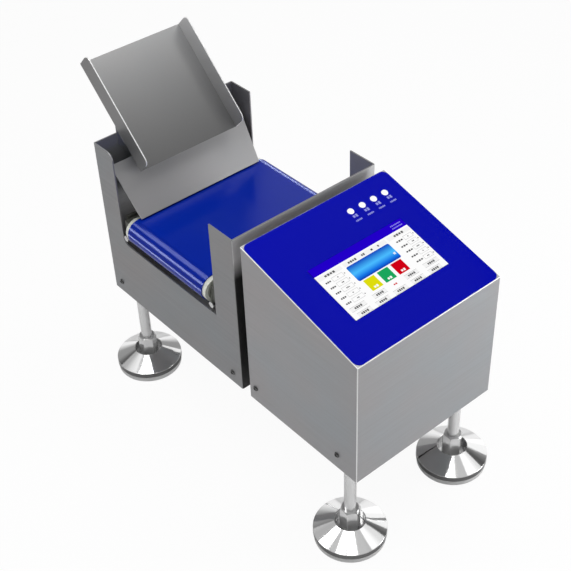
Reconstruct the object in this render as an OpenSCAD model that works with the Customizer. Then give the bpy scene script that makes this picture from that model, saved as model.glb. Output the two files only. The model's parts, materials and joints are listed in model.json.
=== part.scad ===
// Small conveyor checkweigher: an open conveyor housing with an infeed chute, and a control box,
// standing on four levelling feet. Millimetres, +X towards the control box, -Y the front, +Z up.
// The origin is on the floor, under the middle of the machine.

/* [Housings] */
// Width of both housings, front to rear
machine_w = 240; // [210:1:280]
// Height of the housings from their bottom edge to their highest edge
housing_h = 250; // [235:1:300]
// Length of the conveyor housing
conveyor_l = 300; // [290:1:360]
// Length of the control box
control_l = 205; // [195:1:260]
// Height of the control box at its low end
control_low_h = 193; // [165:1:215]
// Gap between the two housings
housing_gap = 16; // [8:1:24]
// Thickness of the folded steel sheet
sheet_t = 2; // [1.5:0.1:2.5]
// Thickness of the base trays
base_t = 3; // [2:0.5:5]
// Height of the upturned flanges of the base trays
base_flange_h = 34; // [28:1:45]

/* [Notch] */
// Width of the posts left of the front and rear notch
left_post_w = 43; // [30:1:50]
// Width of the posts right of the front and rear notch
right_post_w = 46; // [30:1:50]
// Height of the notch's sill above the housing bottom
sill_h = 102; // [85:1:106]
// Radius of the rounded notch corners
notch_r = 12; // [4:1:16]

/* [Feet] */
// Height of the housing bottom above the floor
leg_h = 149; // [124:1:169]
// Distance of the conveyor feet from the end of their housing
conveyor_foot_inset = 29; // [24:1:36]
// Distance of the control box feet from the end of their housing
control_foot_inset = 35; // [24:1:45]
// Distance of all feet from the front and rear faces
side_foot_inset = 22.5; // [20:0.5:30]
// Diameter of the threaded stems
stem_d = 16; // [12:1:18]
// Length of stem above the base tray
stem_rise = 46; // [44:1:60]
// Width across flats of the wrench hexagon and of the lock nut
hex_af = 24; // [22:1:27]
// Height of the wrench hexagon and of the lock nut
hex_h = 18; // [10:1:20]
// Diameter of the foot pads
pad_d = 99; // [70:1:110]
// Height of the pad's upright rim
pad_rim_h = 17; // [14:1:20]
// Height of the pad at its recess
pad_h = 31; // [29:1:35]
// Diameter of the pad's recess
recess_d = 41; // [38:1:46]
// Diameter of the stem's ball end
ball_d = 14; // [12:0.5:15]
// Diameter of the threaded sockets above the base trays
socket_d = 28; // [24:1:32]
// Height of the threaded sockets
socket_h = 24; // [20:1:24]

/* [Conveyor] */
// Height of the belt's top face above the housing bottom
belt_h = 150; // [148:1:158]
// Bare length of roller at each side of the belt
belt_margin = 7; // [4:1:20]
// Thickness of the weigh belt
belt_t = 1.2; // [0.8:0.1:2]
// Diameter of the rollers
roller_d = 36; // [32:1:37]
// Distance of the roller ends from the outer faces of the end walls
roller_side_room = 60; // [58:1:62]
// Distance of the roller axes from the front and rear faces
roller_inset = 13; // [11:1:17]
// Diameter of the roller shafts
shaft_d = 10; // [8:1:11]
// Outer diameter of the roller bearings
bearing_d = 19; // [17:1:20]
// Width of the roller bearings
bearing_w = 6; // [5:0.5:7]
// Thickness of the bearing blocks
block_t = 10; // [9:0.5:12]
// Thickness of the conveyor's side plates
plate_t = 5; // [4:0.5:6]
// Diameter of the cross rods between the side plates
rod_d = 12; // [10:1:13]
// Thickness of the slider bed under the belt
bed_t = 2; // [1.5:0.1:3]

/* [Drive] */
// Width and height of the square motor body
motor_size = 56; // [48:1:57]
// Length of the motor body
motor_l = 70; // [50:1:85]
// Distance of the motor axis behind the middle of the machine
motor_y = 45; // [40:1:48]
// Diameter of the motor shaft
motor_shaft_d = 8; // [6:0.5:8]
// Teeth of the motor pulley
motor_teeth = 18; // [16:1:20]
// Teeth of the roller pulley
roller_teeth = 18; // [16:1:18]
// Pitch of the timing belt's teeth
tooth_pitch = 3; // [2.8:0.1:3]
// Width of the timing belt
timing_w = 9; // [6:0.5:10]

/* [Weighing] */
// Length of the load cell
cell_l = 130; // [120:1:140]
// Width of the load cell
cell_w = 30; // [26:1:40]
// Height of the load cell
cell_h = 22; // [20:1:24]
// Height of the block under the load cell's fixed end
cell_foot_h = 8; // [6:1:10]
// Height of the block on the load cell's free end
cell_head_h = 8; // [6:1:9]
// Thickness of the weigh frame plate
frame_t = 4; // [3:0.5:5]
// Length of the load cell's blocks
cell_block_l = 40; // [36:1:44]

/* [Chute] */
// Angle of the chute tray to the floor
chute_angle = 44; // [38:1:48]
// Length of the chute tray along its slope
chute_l = 168; // [150:1:180]
// Width of the chute tray
chute_w = 168; // [140:1:190]
// Height of the tray's side flanges
chute_flange_h = 29; // [18:1:36]
// Radius of the flanges' rounded ends
chute_r = 9; // [4:1:9]
// Sheet thickness of the chute and its brackets
chute_t = 1.5; // [1:0.1:2]
// Distance of the tray's low edge from the outer end of the housing
chute_low_x = 54; // [50:1:60]
// Drop of the tray's low edge below the housing's highest edge
chute_drop = 37; // [28:1:40]
// Angle of the guide plate to the floor
guide_angle = 53; // [48:1:56]
// Length of the guide plate along its slope
guide_l = 84; // [74:1:88]
// Gap between the guide plate's low corners and the side walls
guide_low_gap = 13; // [11:1:28]
// Gap between the guide plate's high corners and the side walls
guide_high_gap = 5; // [3:1:10]
// Distance of the guide plate's low edge from the outer end of the housing
guide_low_x = 74; // [70:1:80]
// Height of the guide plate's low edge above the belt
guide_clear = 3; // [2:0.5:8]

/* [Control panel] */
// Distance of the panel overlay from the panel's edges
overlay_inset = 1; // [0.8:0.1:6]
// Thickness of the panel overlay
overlay_t = 0.6; // [0.4:0.1:1]
// Radius of the overlay's corners
overlay_r = 9; // [4:1:14]
// Width of the display window
window_w = 155; // [130:1:160]
// Height of the display window
window_h = 88; // [70:1:90]
// Distance of the window from the panel's high edge
window_u = 74; // [66:1:80]
// Sideways offset of the window
window_y = 1; // [-2:0.5:2]
// Thickness of the display module
display_t = 12; // [8:1:16]
// Rim of the display module around its window
display_rim = 7; // [5:0.5:9]
// Diameter of the indicator lamps
lamp_d = 9; // [6:0.5:10]
// Distance of the lamps from the panel's high edge
lamp_u = 31.3; // [26:0.1:40]
// Distance of the last lamp from the panel's side edge
lamp_edge = 27.9; // [24:0.1:34]
// Distance between the lamps
lamp_pitch = 19.7; // [17:0.1:20]

/* [Electrics] */
// Size of the power supply along X
supply_l = 110; // [90:1:112]
// Size of the power supply along Y
supply_w = 58; // [50:1:60]
// Height of the power supply
supply_h = 40; // [30:1:50]
// Size of the controller board along X
board_l = 108; // [90:1:112]
// Size of the controller board along Y
board_w = 82; // [70:1:90]
// Size of the motor driver along Y
driver_w = 80; // [60:1:90]
// Size of the motor driver along X
driver_l = 34; // [28:1:38]
// Height of the inlet and the switch above the housing bottom
inlet_h = 105; // [95:1:120]
// Tilt of the switch rocker either way
rocker_tilt = 9; // [6:0.5:12]

/* [Fits] */
// Gap between parts that move past each other
run_gap = 0.3; // [0.25:0.01:0.35]
// Radial clearance of shafts in their bearings
shaft_fit = 0.04; // [0.03:0.005:0.06]
// Radial clearance of fasteners in their holes
hole_fit = 0.1; // [0.05:0.01:0.15]

/* [Hidden] */
$fn = 64;
slop = 1;
weld = 0.02;

// Places along X: the model is centred between the chute's tip and the right feet
chute_reach = chute_l * cos(chute_angle) + chute_t * sin(chute_angle) - chute_low_x;
right_reach = max(control_l, control_l - control_foot_inset + pad_d / 2);
total_reach = chute_reach + conveyor_l + housing_gap + right_reach;
conveyor_x0 = chute_reach - total_reach / 2;
conveyor_x1 = conveyor_x0 + conveyor_l;
conveyor_cx = conveyor_x0 + conveyor_l / 2;
control_x0 = conveyor_x1 + housing_gap;
control_x1 = control_x0 + control_l;

// Places along Y and Z
half_w = machine_w / 2;
inner_w = half_w - sheet_t;
base_z = leg_h + base_t;
top_z = leg_h + housing_h;
foot_y = half_w - side_foot_inset;
foot_xl = conveyor_x0 + conveyor_foot_inset;
foot_xr = control_x1 - control_foot_inset;
FEET = [[foot_xl, -foot_y], [foot_xl, foot_y], [foot_xr, -foot_y], [foot_xr, foot_y]];

// Foot parts
stem_r = stem_d / 2;
ball_r = ball_d / 2;
pad_floor = 7;
ball_hold = 2.1;
ball_z = pad_floor + ball_r;
recess_z = ball_z + ball_hold;
hex_lift = 2.6;
hex_z = recess_z + hex_lift;
neck_r = 5;
socket_wall_clear = 0.4;
rim_inset = 1;
rim_chamfer = 2;
rim_lip_h = 8;
nut_bevel_h = 2;
nut_bevel = 0.6;

// Pan heads: dome, flat on top, cross recess, as shares of the head's radius
dome_share = 1.2;
dome_flat = 0.4;
cross_w_share = 0.28;
cross_l_share = 1.2;

// Housing screws
screw_r = 2;
screw_head_r = 4;
screw_head_h = 2.6;
screw_l = 7;
conveyor_screw_inset = 19.5;
control_screw_near = 13;
control_screw_far = control_foot_inset;
conveyor_screw_h = 18;
control_screw_h = 23;
conveyor_screw_z = leg_h + conveyor_screw_h;
control_screw_z = leg_h + control_screw_h;
HOUSING_SCREWS = [
    [conveyor_x0 + conveyor_screw_inset, conveyor_screw_z],
    [conveyor_x1 - conveyor_screw_inset, conveyor_screw_z],
    [control_x0 + control_screw_near, control_screw_z],
    [control_x1 - control_screw_far, control_screw_z]
];

// Joint between the housings
join_r = 4;
join_y = 75;
join_spacer_r = 9;
join_head_h = 5.5;
join_nut_h = 6.5;
join_hex_r = 7.5;
join_low = 42;
join_high = 122;
JOINS = [for (y = [-join_y, join_y], z = [join_low, join_high]) [y, leg_h + z]];
conduit_r = 12;
conduit_bore_r = 8;
conduit_flange_r = 16;
conduit_flange_t = 2;
conduit_h = 60;
conduit_z = leg_h + conduit_h;
conduit_y = -30;
cable_r = 2.5;
bend_swell = 1.06;
cable_out = 14;
cable_turn = 30;
cable_low = 20;

// Weighing stack, from the base tray up
cell_z = base_z + cell_foot_h;
head_z = cell_z + cell_h;
frame_z = head_z + cell_head_h;
frame_top = frame_z + frame_t;
cell_x0 = conveyor_cx - cell_l / 2;
cell_x1 = conveyor_cx + cell_l / 2;
cell_bolt_r = 3;
cell_bolt_head_r = 5;
cell_bolt_head_h = 5;
cell_bolt_inset = [10, 30];
cell_bean_r = 6.5;
cell_bean_gap = 22;
cell_bolt_depth = 14;

// Weigh conveyor
roller_r = roller_d / 2;
belt_in_r = roller_r + run_gap;
belt_out_r = belt_in_r + belt_t;
roller_z = leg_h + belt_h - belt_out_r;
roller_y = half_w - roller_inset;
roller_l = conveyor_l - 2 * roller_side_room;
belt_w = roller_l - 2 * belt_margin;
end_gap = 2;
block_x = roller_l / 2 + end_gap;
plate_x = block_x + block_t;
plate_out = plate_x + plate_t;
block_front = 10;
block_back = 20;
block_up = 12;
block_down = 21;
tension_drop = 14;
tension_r = 3;
tension_head_r = 5;
tension_head_h = 5;
tension_l = 16;
cap_r = 2;
cap_head_r = 3.5;
cap_head_h = 4;
cap_key_af = 3;
cap_key_depth = 2;
cap_depth = 8;
block_screw_in = 14;
block_screw_low = 14;
block_screw_high = 4;
BLOCK_SCREWS = [[block_screw_in, -block_screw_low], [block_screw_in, block_screw_high]];
bearing_r = bearing_d / 2;
shaft_r = shaft_d / 2;
shaft_hole_clear = 2;
shaft_stub = 2;
shaft_hole_r = shaft_r + shaft_hole_clear;
shaft_out = plate_out + shaft_stub;
cap_rim = 5;
cap_recess_r = roller_r - cap_rim;
cap_recess_depth = 4;
bed_top = roller_z + roller_r;
bed_z = bed_top - bed_t;
bed_end_clear = 11;
plate_overhang = 4;
bed_half = roller_y - bed_end_clear;
plate_end = roller_y + plate_overhang;
plate_low = roller_z - block_down;
web_y0 = -60;
web_margin = 5;
web_y1 = motor_y + motor_size / 2 + web_margin;
foot_flange = 20;
frame_screw_r = 2.5;
frame_screw_head_r = 4.5;
frame_screw_head_h = 4;
frame_screw_inset = 12;
frame_screw_y = 8;
FRAME_SCREWS = [web_y0 + frame_screw_inset, frame_screw_y];
rod_y = 55;
rod_r = rod_d / 2;
rod_z = (bed_z + roller_z - belt_in_r) / 2;
spigot_r = 4;

// Drive
motor_lift = 1.5;
motor_z = frame_top + plate_t + motor_lift + motor_size / 2;
motor_corner_r = 4;
motor_screw_inset = 4.5;
motor_boss_r = 19;
motor_boss_h = 2;
motor_screw_pitch = motor_size - 2 * motor_screw_inset;
motor_shaft_r = motor_shaft_d / 2;
motor_shaft_in = 20;
pulley_clear = 2;
pulley_x = plate_out + cap_head_h + pulley_clear;
pulley_side = 1;
pulley_w = timing_w + 2 * pulley_side;
pulley_flange_t = 1.2;
pulley_flange_h = 1.9;
pitch_line_drop = 0.4;
motor_pulley_r = motor_teeth * tooth_pitch / 2 / PI - pitch_line_drop;
roller_pulley_r = roller_teeth * tooth_pitch / 2 / PI - pitch_line_drop;
tooth_h = 1.1;
TOOTH_STEPS = [[0, 0], [0.5, 0], [0.62, 1], [0.88, 1]];
timing_t = 1.3;
shaft_proud = 1;
drive_end = pulley_x + pulley_w + 2 * pulley_flange_t + shaft_proud;
key_fit = 0.02;

// Chute, tray and guide
chute_low = [conveyor_x0 + chute_low_x, top_z - chute_drop];
guide_low_w = 2 * (inner_w - guide_low_gap);
guide_high_w = 2 * (inner_w - guide_high_gap);
guide_low = [conveyor_x0 + guide_low_x, leg_h + belt_h + guide_clear];
wall_in = conveyor_x0 + sheet_t;
support_drop = 36;
support_low_z = top_z - support_drop;
support_taper = 14;
support_fold_l = 26;
support_fold_x = wall_in + support_fold_l * cos(chute_angle);
support_fold_h = chute_t / cos(chute_angle);
wall_screw_r = 2.5;
wall_screw_head_r = 4.5;
wall_screw_head_h = 2.8;
wall_nut_h = 4;
wall_nut_r = 4.6;
support_screw_y = 55;
support_screw_high = 12;
support_screw_low = 26;
SUPPORT_SCREWS = [
    for (y = [-support_screw_y, support_screw_y], d = [support_screw_high, support_screw_low]) [y, top_z - d]
];
bracket_w = 30;
bracket_y = 62;
bracket_h = 190;
bracket_z = leg_h + bracket_h;
bracket_tab = 24;
bracket_screw_drop = 14;
BRACKET_SCREWS = [for (y = [-bracket_y, bracket_y]) [y, bracket_z - bracket_screw_drop]];
bracket_s = (bracket_z - guide_low[1]) / sin(guide_angle);
guide_back_x = guide_low[0] - (bracket_z - guide_low[1]) / tan(guide_angle) - chute_t / sin(guide_angle);

// Cover over the drive side of the conveyor
cover_lift = 2;
cover_belt_gap = 4;
cover_rear_gap = 3;
cover_z = leg_h + belt_h + cover_lift;
cover_x = conveyor_cx + belt_w / 2 + cover_belt_gap;
cover_front_gap = 18;
cover_front = inner_w - cover_front_gap;
cover_rear = inner_w - cover_rear_gap;
cover_flange_h = 20;
cover_screw_y = 60;
cover_screw_h = 11;
COVER_SCREWS = [for (y = [-cover_screw_y, cover_screw_y]) [y, cover_z + cover_screw_h]];

// Sloped control panel
panel_slope = atan((housing_h - control_low_h) / control_l);
panel_l = control_l / cos(panel_slope);
panel_drop = sheet_t / cos(panel_slope);
glass_fit = 0.2;
glass_proud = 0.3;
lamp_fit = 0.1;
lamp_proud = 1;
lamp_depth = 4;
lamp_count = 4;
lamp_y = half_w - lamp_edge - (lamp_count - 1) * lamp_pitch;
lamp_board_t = 1.6;
lamp_board_margin = 14;
lamp_board_w = 20;
lamp_post_r = 3;
clip_w = 14;
clip_t = 3;

// Electrics inside the control box
electrics_inset = 20;
electrics_x = control_x0 + electrics_inset;
supply_y = 24;
board_rear = 8;
board_y = board_rear - board_w;
board_t = 1.6;
post_h = 8;
board_top = base_z + post_h + board_t;
plug_size = 16;
plug_h = 9;
chip_inset = 12;
chip_size = 24;
chip_h = 3;
socket_count = 4;
socket_first = 14;
socket_step = 20;
socket_size = [15, 10, 11];
can_inset = 20;
can_first = 18;
can_step = 18;
can_r = 6;
can_h = 18;
post_r = 3;
post_inset = 6;
terminal_inset = 6;
terminal_t = 8;
terminal_h = 14;
driver_gap = 8;
driver_x = electrics_x + max(supply_l, board_l) + terminal_t + driver_gap;
driver_h = 32;
fin_count = 8;
fin_t = 3;
inlet_w = 50;
inlet_face_h = 24;
inlet_body_w = 27;
inlet_body_h = 20;
inlet_depth = 26;
inlet_face_t = 2.5;
inlet_socket_w = 22;
inlet_socket_h = 15;
inlet_socket_depth = 15;
inlet_inset = 60;
inlet_x = control_x0 + inlet_inset;
inlet_z = leg_h + inlet_h;
pin_pitch = 7;
pin_rise = 2;
INLET_PINS = [[-pin_pitch, -pin_rise], [0, pin_rise], [pin_pitch, -pin_rise]];
pin_t = 2;
pin_l = 12;
switch_w = 15;
switch_face_h = 21;
switch_body_w = 13;
switch_body_h = 19;
switch_depth = 18;
switch_pitch = 55;
switch_x = inlet_x + switch_pitch;
switch_face_t = 2;
rocker_w = 10;
rocker_h = 15;
rocker_ease = 0.8;
rocker_back = 5;
rocker_nose = 7.5;
rocker_dip = 1.5;
rocker_room = 14;
rocker_pin_r = 1.5;
rocker_pin_end = 1;
rocker_pin_l = rocker_w + 2 * rocker_pin_end;
rocker_axis_in = 3.5;
rocker_axis_y = half_w - rocker_axis_in;

// Colours
STEEL = [0.55, 0.55, 0.56];
BRIGHT = [0.82, 0.83, 0.84];
DARK = [0.16, 0.16, 0.17];
ALLOY = [0.72, 0.73, 0.75];
BLUE = [0.04, 0.08, 0.62];
BOARD = [0.05, 0.33, 0.16];

// Cylinder along X, centred in Y and Z
module bar_x(r, l) {
    rotate([0, 90, 0]) cylinder(r = r, h = l);
}

// Cylinder along Y, centred in X and Z
module bar_y(r, l) {
    rotate([-90, 0, 0]) cylinder(r = r, h = l);
}

// Puts a flat outline drawn in Y and Z at a place along X, with a thickness along X
module plate_yz(x, t) {
    translate([x, 0, 0]) rotate([90, 0, 90]) linear_extrude(t) children();
}

// Puts a flat outline drawn in X and Z at a place along Y, with a thickness along Y
module plate_xz(y, t) {
    translate([0, y + t, 0]) rotate([90, 0, 0]) linear_extrude(t) children();
}

// Rectangle from one corner to the other
module corners(p, q) {
    translate(p) square(q - p);
}

// Box from one corner to the other
module block(p, q) {
    translate(p) cube(q - p);
}

// Rectangle with round corners
module rounded(p, q, r) {
    corners([p[0] + r, p[1]], [q[0] - r, q[1]]);
    corners([p[0], p[1] + r], [q[0], q[1] - r]);
    for (x = [p[0] + r, q[0] - r], y = [p[1] + r, q[1] - r]) translate([x, y]) circle(r);
}

// Hexagonal prism along Z
module hexagon(af, h) {
    cylinder(d = af / cos(30), h = h, $fn = 6);
}

// Endless band of thickness t and width w round two circles, drawn in X and Y and raised along Z
module loop_band(c1, r1, c2, r2, t, w) {
    d = c2 - c1;
    turn = atan2(d[1], d[0]);
    lean = acos((r1 - r2) / norm(d));
    run = sqrt(norm(d) * norm(d) - (r1 - r2) * (r1 - r2));
    translate(c1) rotate([0, 0, turn + lean]) rotate_extrude(angle = 360 - 2 * lean)
        translate([r1, 0]) square([t, w]);
    translate(c2) rotate([0, 0, turn - lean]) rotate_extrude(angle = 2 * lean)
        translate([r2, 0]) square([t, w]);
    translate(c1) rotate([0, 0, turn + lean]) translate([r1, -run - weld, 0]) cube([t, run + 2 * weld, w]);
    translate(c1) rotate([0, 0, turn - lean]) translate([r1, -weld, 0]) cube([t, run + 2 * weld, w]);
}

// Turns what is drawn in X, Y and Z so that it lies in Y, Z and X
module stand_yz(x) {
    translate([x, 0, 0]) rotate([90, 0, 90]) children();
}

// Toothed outline of a timing pulley. TOOTH_STEPS gives how far round a pitch and how deep each corner is
module tooth_outline(teeth, r) {
    step = 360 / teeth;
    polygon([
        for (i = [0:teeth - 1], k = TOOTH_STEPS)
            (r - k[1] * tooth_h) * [cos((i + k[0]) * step), sin((i + k[0]) * step)]
    ]);
}

// Round cable along straight runs with round bends
module cable_run(points, r) {
    for (i = [0:len(points) - 2]) {
        d = points[i + 1] - points[i];
        translate(points[i])
            rotate([0, acos(d[2] / norm(d)), atan2(d[1], d[0])]) cylinder(r = r, h = norm(d));
    }
    for (i = [1:len(points) - 2]) translate(points[i]) sphere(r * bend_swell);
}

// Places children at the four bearing blocks: side -1 left, +1 right; end -1 front, +1 rear
module each_block() {
    for (side = [-1, 1], end = [-1, 1])
        translate([conveyor_cx, end * roller_y, roller_z]) scale_sides(side, end) children();
}

// Mirrors children to one side and end
module scale_sides(side, end) {
    mirror([side < 0 ? 1 : 0, 0, 0]) mirror([0, end < 0 ? 1 : 0, 0]) children();
}

// Places children on the sloped panel: X runs down the slope from the high edge, Z points out of it
module on_panel() {
    translate([control_x0, 0, top_z]) rotate([0, panel_slope, 0]) children();
}

// Places children on the chute tray: X runs up the slope from the low edge, Z points out of it
module on_chute() {
    translate([chute_low[0], 0, chute_low[1]]) rotate([0, chute_angle, 0]) mirror([1, 0, 0]) children();
}

// Places children on the guide plate in the same way
module on_guide() {
    translate([guide_low[0], 0, guide_low[1]]) rotate([0, guide_angle, 0]) mirror([1, 0, 0]) children();
}

// Outline of the opening in a long side of the conveyor housing
module notch_outline(round_top) {
    x0 = conveyor_x0 + left_post_w;
    x1 = conveyor_x1 - right_post_w;
    z0 = leg_h + sill_h;
    corners([x0, z0 + notch_r], [x1, top_z + slop]);
    corners([x0 + notch_r, z0], [x1, z0 + 2 * notch_r]);
    translate([x0 + notch_r, z0 + notch_r]) circle(notch_r);
    if (round_top) difference() {
        corners([x0 - notch_r, top_z - notch_r], [x0 + slop, top_z + slop]);
        translate([x0 - notch_r, top_z - notch_r]) circle(notch_r);
    }
}

module housing_screw_holes() {
    for (p = HOUSING_SCREWS)
        translate([p[0], -half_w - slop, p[1]]) bar_y(screw_r + hole_fit, machine_w + 2 * slop);
}

module join_holes() {
    for (p = JOINS) translate([conveyor_x1 - sheet_t - slop, p[0], p[1]])
        bar_x(join_r + hole_fit, housing_gap + 2 * sheet_t + 2 * slop);
    translate([conveyor_x1 - sheet_t - slop, conduit_y, conduit_z])
        bar_x(conduit_r + hole_fit, housing_gap + 2 * sheet_t + 2 * slop);
}

module wall_screw_holes() {
    for (p = SUPPORT_SCREWS) translate([conveyor_x0 - slop, p[0], p[1]])
        bar_x(wall_screw_r + hole_fit, sheet_t + chute_t + 2 * slop);
    for (p = BRACKET_SCREWS) translate([conveyor_x0 - slop, p[0], p[1]])
        bar_x(wall_screw_r + hole_fit, sheet_t + chute_t + 2 * slop);
    for (p = COVER_SCREWS) translate([conveyor_x1 - sheet_t - chute_t - slop, p[0], p[1]])
        bar_x(wall_screw_r + hole_fit, sheet_t + chute_t + 2 * slop);
}

module conveyor_housing() {
    color(STEEL) difference() {
        block([conveyor_x0, -half_w, leg_h], [conveyor_x1, half_w, top_z]);
        block([conveyor_x0 + sheet_t, -inner_w, leg_h - slop],
              [conveyor_x1 - sheet_t, inner_w, top_z + slop]);
        plate_xz(-half_w - slop, sheet_t + 2 * slop) notch_outline(true);
        plate_xz(inner_w - slop, sheet_t + 2 * slop) notch_outline(false);
        housing_screw_holes();
        join_holes();
        wall_screw_holes();
    }
}

// Base tray between two places along X, with its front and rear flanges
module base_tray(x0, x1) {
    a = x0 + sheet_t + run_gap;
    b = x1 - sheet_t - run_gap;
    block([a, -inner_w, leg_h], [b, inner_w, base_z]);
    for (y = [-inner_w, inner_w - sheet_t])
        block([a, y, leg_h], [b, y + sheet_t, leg_h + base_flange_h]);
}

module foot_holes() {
    for (p = FEET) translate([p[0], p[1], leg_h - slop])
        cylinder(r = stem_r + run_gap, h = base_t + 2 * slop);
}

module conveyor_base() {
    color(STEEL) difference() {
        base_tray(conveyor_x0, conveyor_x1);
        foot_holes();
        housing_screw_holes();
        for (d = cell_bolt_inset) translate([cell_x0 + d, 0, leg_h - slop])
            cylinder(r = cell_bolt_r + hole_fit, h = base_t + 2 * slop);
    }
}

module control_outline(wall, drop, floor_z) {
    polygon([
        [control_x0 + wall, floor_z], [control_x1 - wall, floor_z],
        [control_x1 - wall, leg_h + control_low_h - drop + wall * tan(panel_slope)],
        [control_x0 + wall, top_z - drop - wall * tan(panel_slope)]
    ]);
}

module lamp_row() {
    for (i = [0:lamp_count - 1]) translate([lamp_u, lamp_y + i * lamp_pitch, 0]) children();
}

module window_cut(grow) {
    translate([window_u - grow, window_y - window_w / 2 - grow, -sheet_t - slop])
        cube([window_h + 2 * grow, window_w + 2 * grow, sheet_t + overlay_t + 2 * slop]);
}

// Rectangular hole through the rear panel for a body of the given size
module rear_cutout(x, w, h) {
    a = w / 2 + hole_fit;
    b = h / 2 + hole_fit;
    block([x - a, inner_w - slop, inlet_z - b], [x + a, half_w + slop, inlet_z + b]);
}

module control_housing() {
    color(STEEL) difference() {
        plate_xz(-half_w, machine_w) control_outline(0, 0, leg_h);
        plate_xz(-inner_w, 2 * inner_w) control_outline(sheet_t, panel_drop, leg_h - slop);
        on_panel() {
            window_cut(0);
            lamp_row() translate([0, 0, -sheet_t - slop])
                cylinder(r = lamp_d / 2 + lamp_fit, h = sheet_t + 2 * slop);
        }
        housing_screw_holes();
        join_holes();
        rear_cutout(inlet_x, inlet_body_w, inlet_body_h);
        rear_cutout(switch_x, switch_body_w, switch_body_h);
    }
}

module control_base() {
    color(STEEL) difference() {
        base_tray(control_x0, control_x1);
        foot_holes();
        housing_screw_holes();
    }
}

// Pan-head screw with a cross recess, its shank along +Z from the seat at the origin
module pan_screw(r, l, head_r, head_h) {
    dome_r = head_r * dome_share;
    slot = [head_r * cross_l_share, head_r * cross_w_share, head_h];
    difference() {
        union() {
            cylinder(r = r, h = l);
            intersection() {
                translate([0, 0, -head_h]) cylinder(r = head_r, h = head_h);
                translate([0, 0, dome_r - dome_flat - head_h]) sphere(dome_r);
            }
        }
        for (a = [0, 90]) translate([0, 0, -head_h]) rotate([0, 0, a]) cube(slot, center = true);
    }
}

module housing_screws() {
    color(BRIGHT) for (p = HOUSING_SCREWS, side = [-1, 1])
        translate([p[0], side * half_w, p[1]]) rotate([side * 90, 0, 0])
            pan_screw(screw_r, screw_l, screw_head_r, screw_head_h);
}

module joining_spacers() {
    color(DARK) for (p = JOINS) translate([conveyor_x1, p[0], p[1]]) difference() {
        bar_x(join_spacer_r, housing_gap);
        translate([-slop, 0, 0]) bar_x(join_r + hole_fit, housing_gap + 2 * slop);
    }
}

// Bolts through both housings, with their nuts inside the conveyor housing
module joining_bolts() {
    color(BRIGHT) for (p = JOINS) {
        translate([control_x0 + sheet_t, p[0], p[1]]) {
            rotate([0, 90, 0]) hexagon(2 * join_hex_r * cos(30), join_head_h);
            translate([-2 * sheet_t - housing_gap - join_nut_h - slop, 0, 0])
                bar_x(join_r, 2 * sheet_t + housing_gap + join_nut_h + slop);
        }
        translate([conveyor_x1 - sheet_t - join_nut_h, p[0], p[1]]) difference() {
            rotate([0, 90, 0]) hexagon(2 * join_hex_r * cos(30), join_nut_h);
            translate([-slop, 0, 0]) bar_x(join_r + shaft_fit, join_nut_h + 2 * slop);
        }
    }
}

module cable_conduit() {
    l = housing_gap + 2 * sheet_t;
    color(DARK) translate([conveyor_x1 - sheet_t, conduit_y, conduit_z]) difference() {
        union() {
            translate([-conduit_flange_t, 0, 0]) bar_x(conduit_flange_r, conduit_flange_t);
            bar_x(conduit_r, l + 2 * conduit_flange_t);
        }
        translate([-conduit_flange_t - slop, 0, 0])
            bar_x(conduit_bore_r, l + 3 * conduit_flange_t + 2 * slop);
    }
}

module signal_cable() {
    start = [cell_x1 - cell_block_l / 2, -cell_w / 2, cell_z + cell_h / 2];
    in_x = conveyor_x1 - sheet_t - cable_turn;
    board_end = [electrics_x + board_l / 2, board_y + board_w / 2, board_top + plug_h];
    color(DARK) cable_run([
        start, start - [0, cable_out, 0], [in_x, conduit_y, base_z + cable_low],
        [in_x, conduit_y, conduit_z], [board_end[0], conduit_y, conduit_z], board_end
    ], cable_r);
}

module foot_sockets() {
    color(STEEL) for (p = FEET) translate([p[0], p[1], base_z]) difference() {
        cylinder(d = socket_d - 2 * socket_wall_clear, h = socket_h);
        translate([0, 0, -slop]) cylinder(r = stem_r + shaft_fit, h = socket_h + 2 * slop);
    }
}

// Stem with its ball end and wrench hexagon
module foot_stem(i) {
    color(BRIGHT) translate([FEET[i][0], FEET[i][1], 0]) {
        translate([0, 0, ball_z]) sphere(ball_r);
        translate([0, 0, ball_z]) cylinder(r = neck_r, h = hex_z - ball_z + slop);
        translate([0, 0, hex_z]) hexagon(hex_af, hex_h);
        translate([0, 0, hex_z]) cylinder(r = stem_r, h = base_z + stem_rise - hex_z);
    }
}

// Lock nut resting on the wrench hexagon
module foot_nut(i) {
    color(BRIGHT) translate([FEET[i][0], FEET[i][1], hex_z + hex_h]) difference() {
        intersection() {
            hexagon(hex_af, hex_h);
            union() {
                cylinder(r = hex_af / 2 / cos(30), h = hex_h - nut_bevel_h);
                translate([0, 0, hex_h - nut_bevel_h])
                    cylinder(r1 = hex_af / 2 / cos(30), r2 = hex_af / 2 - nut_bevel, h = nut_bevel_h);
            }
        }
        translate([0, 0, -slop]) cylinder(r = stem_r + shaft_fit, h = hex_h + 2 * slop);
    }
}

// Turned foot pad with a conical top, a recess and a ball socket
module foot_pad(i) {
    rim_r = pad_d / 2;
    color(BRIGHT) translate([FEET[i][0], FEET[i][1], 0]) difference() {
        rotate_extrude($fn = 128) polygon([
            [0, 0], [rim_r - rim_inset - rim_chamfer, 0], [rim_r - rim_inset, rim_chamfer],
            [rim_r - rim_inset, pad_rim_h - rim_lip_h - rim_inset], [rim_r, pad_rim_h - rim_lip_h],
            [rim_r, pad_rim_h], [recess_d / 2, pad_h], [recess_d / 2, recess_z], [0, recess_z]
        ]);
        translate([0, 0, ball_z]) sphere(ball_r + 2 * shaft_fit);
    }
}

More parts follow.
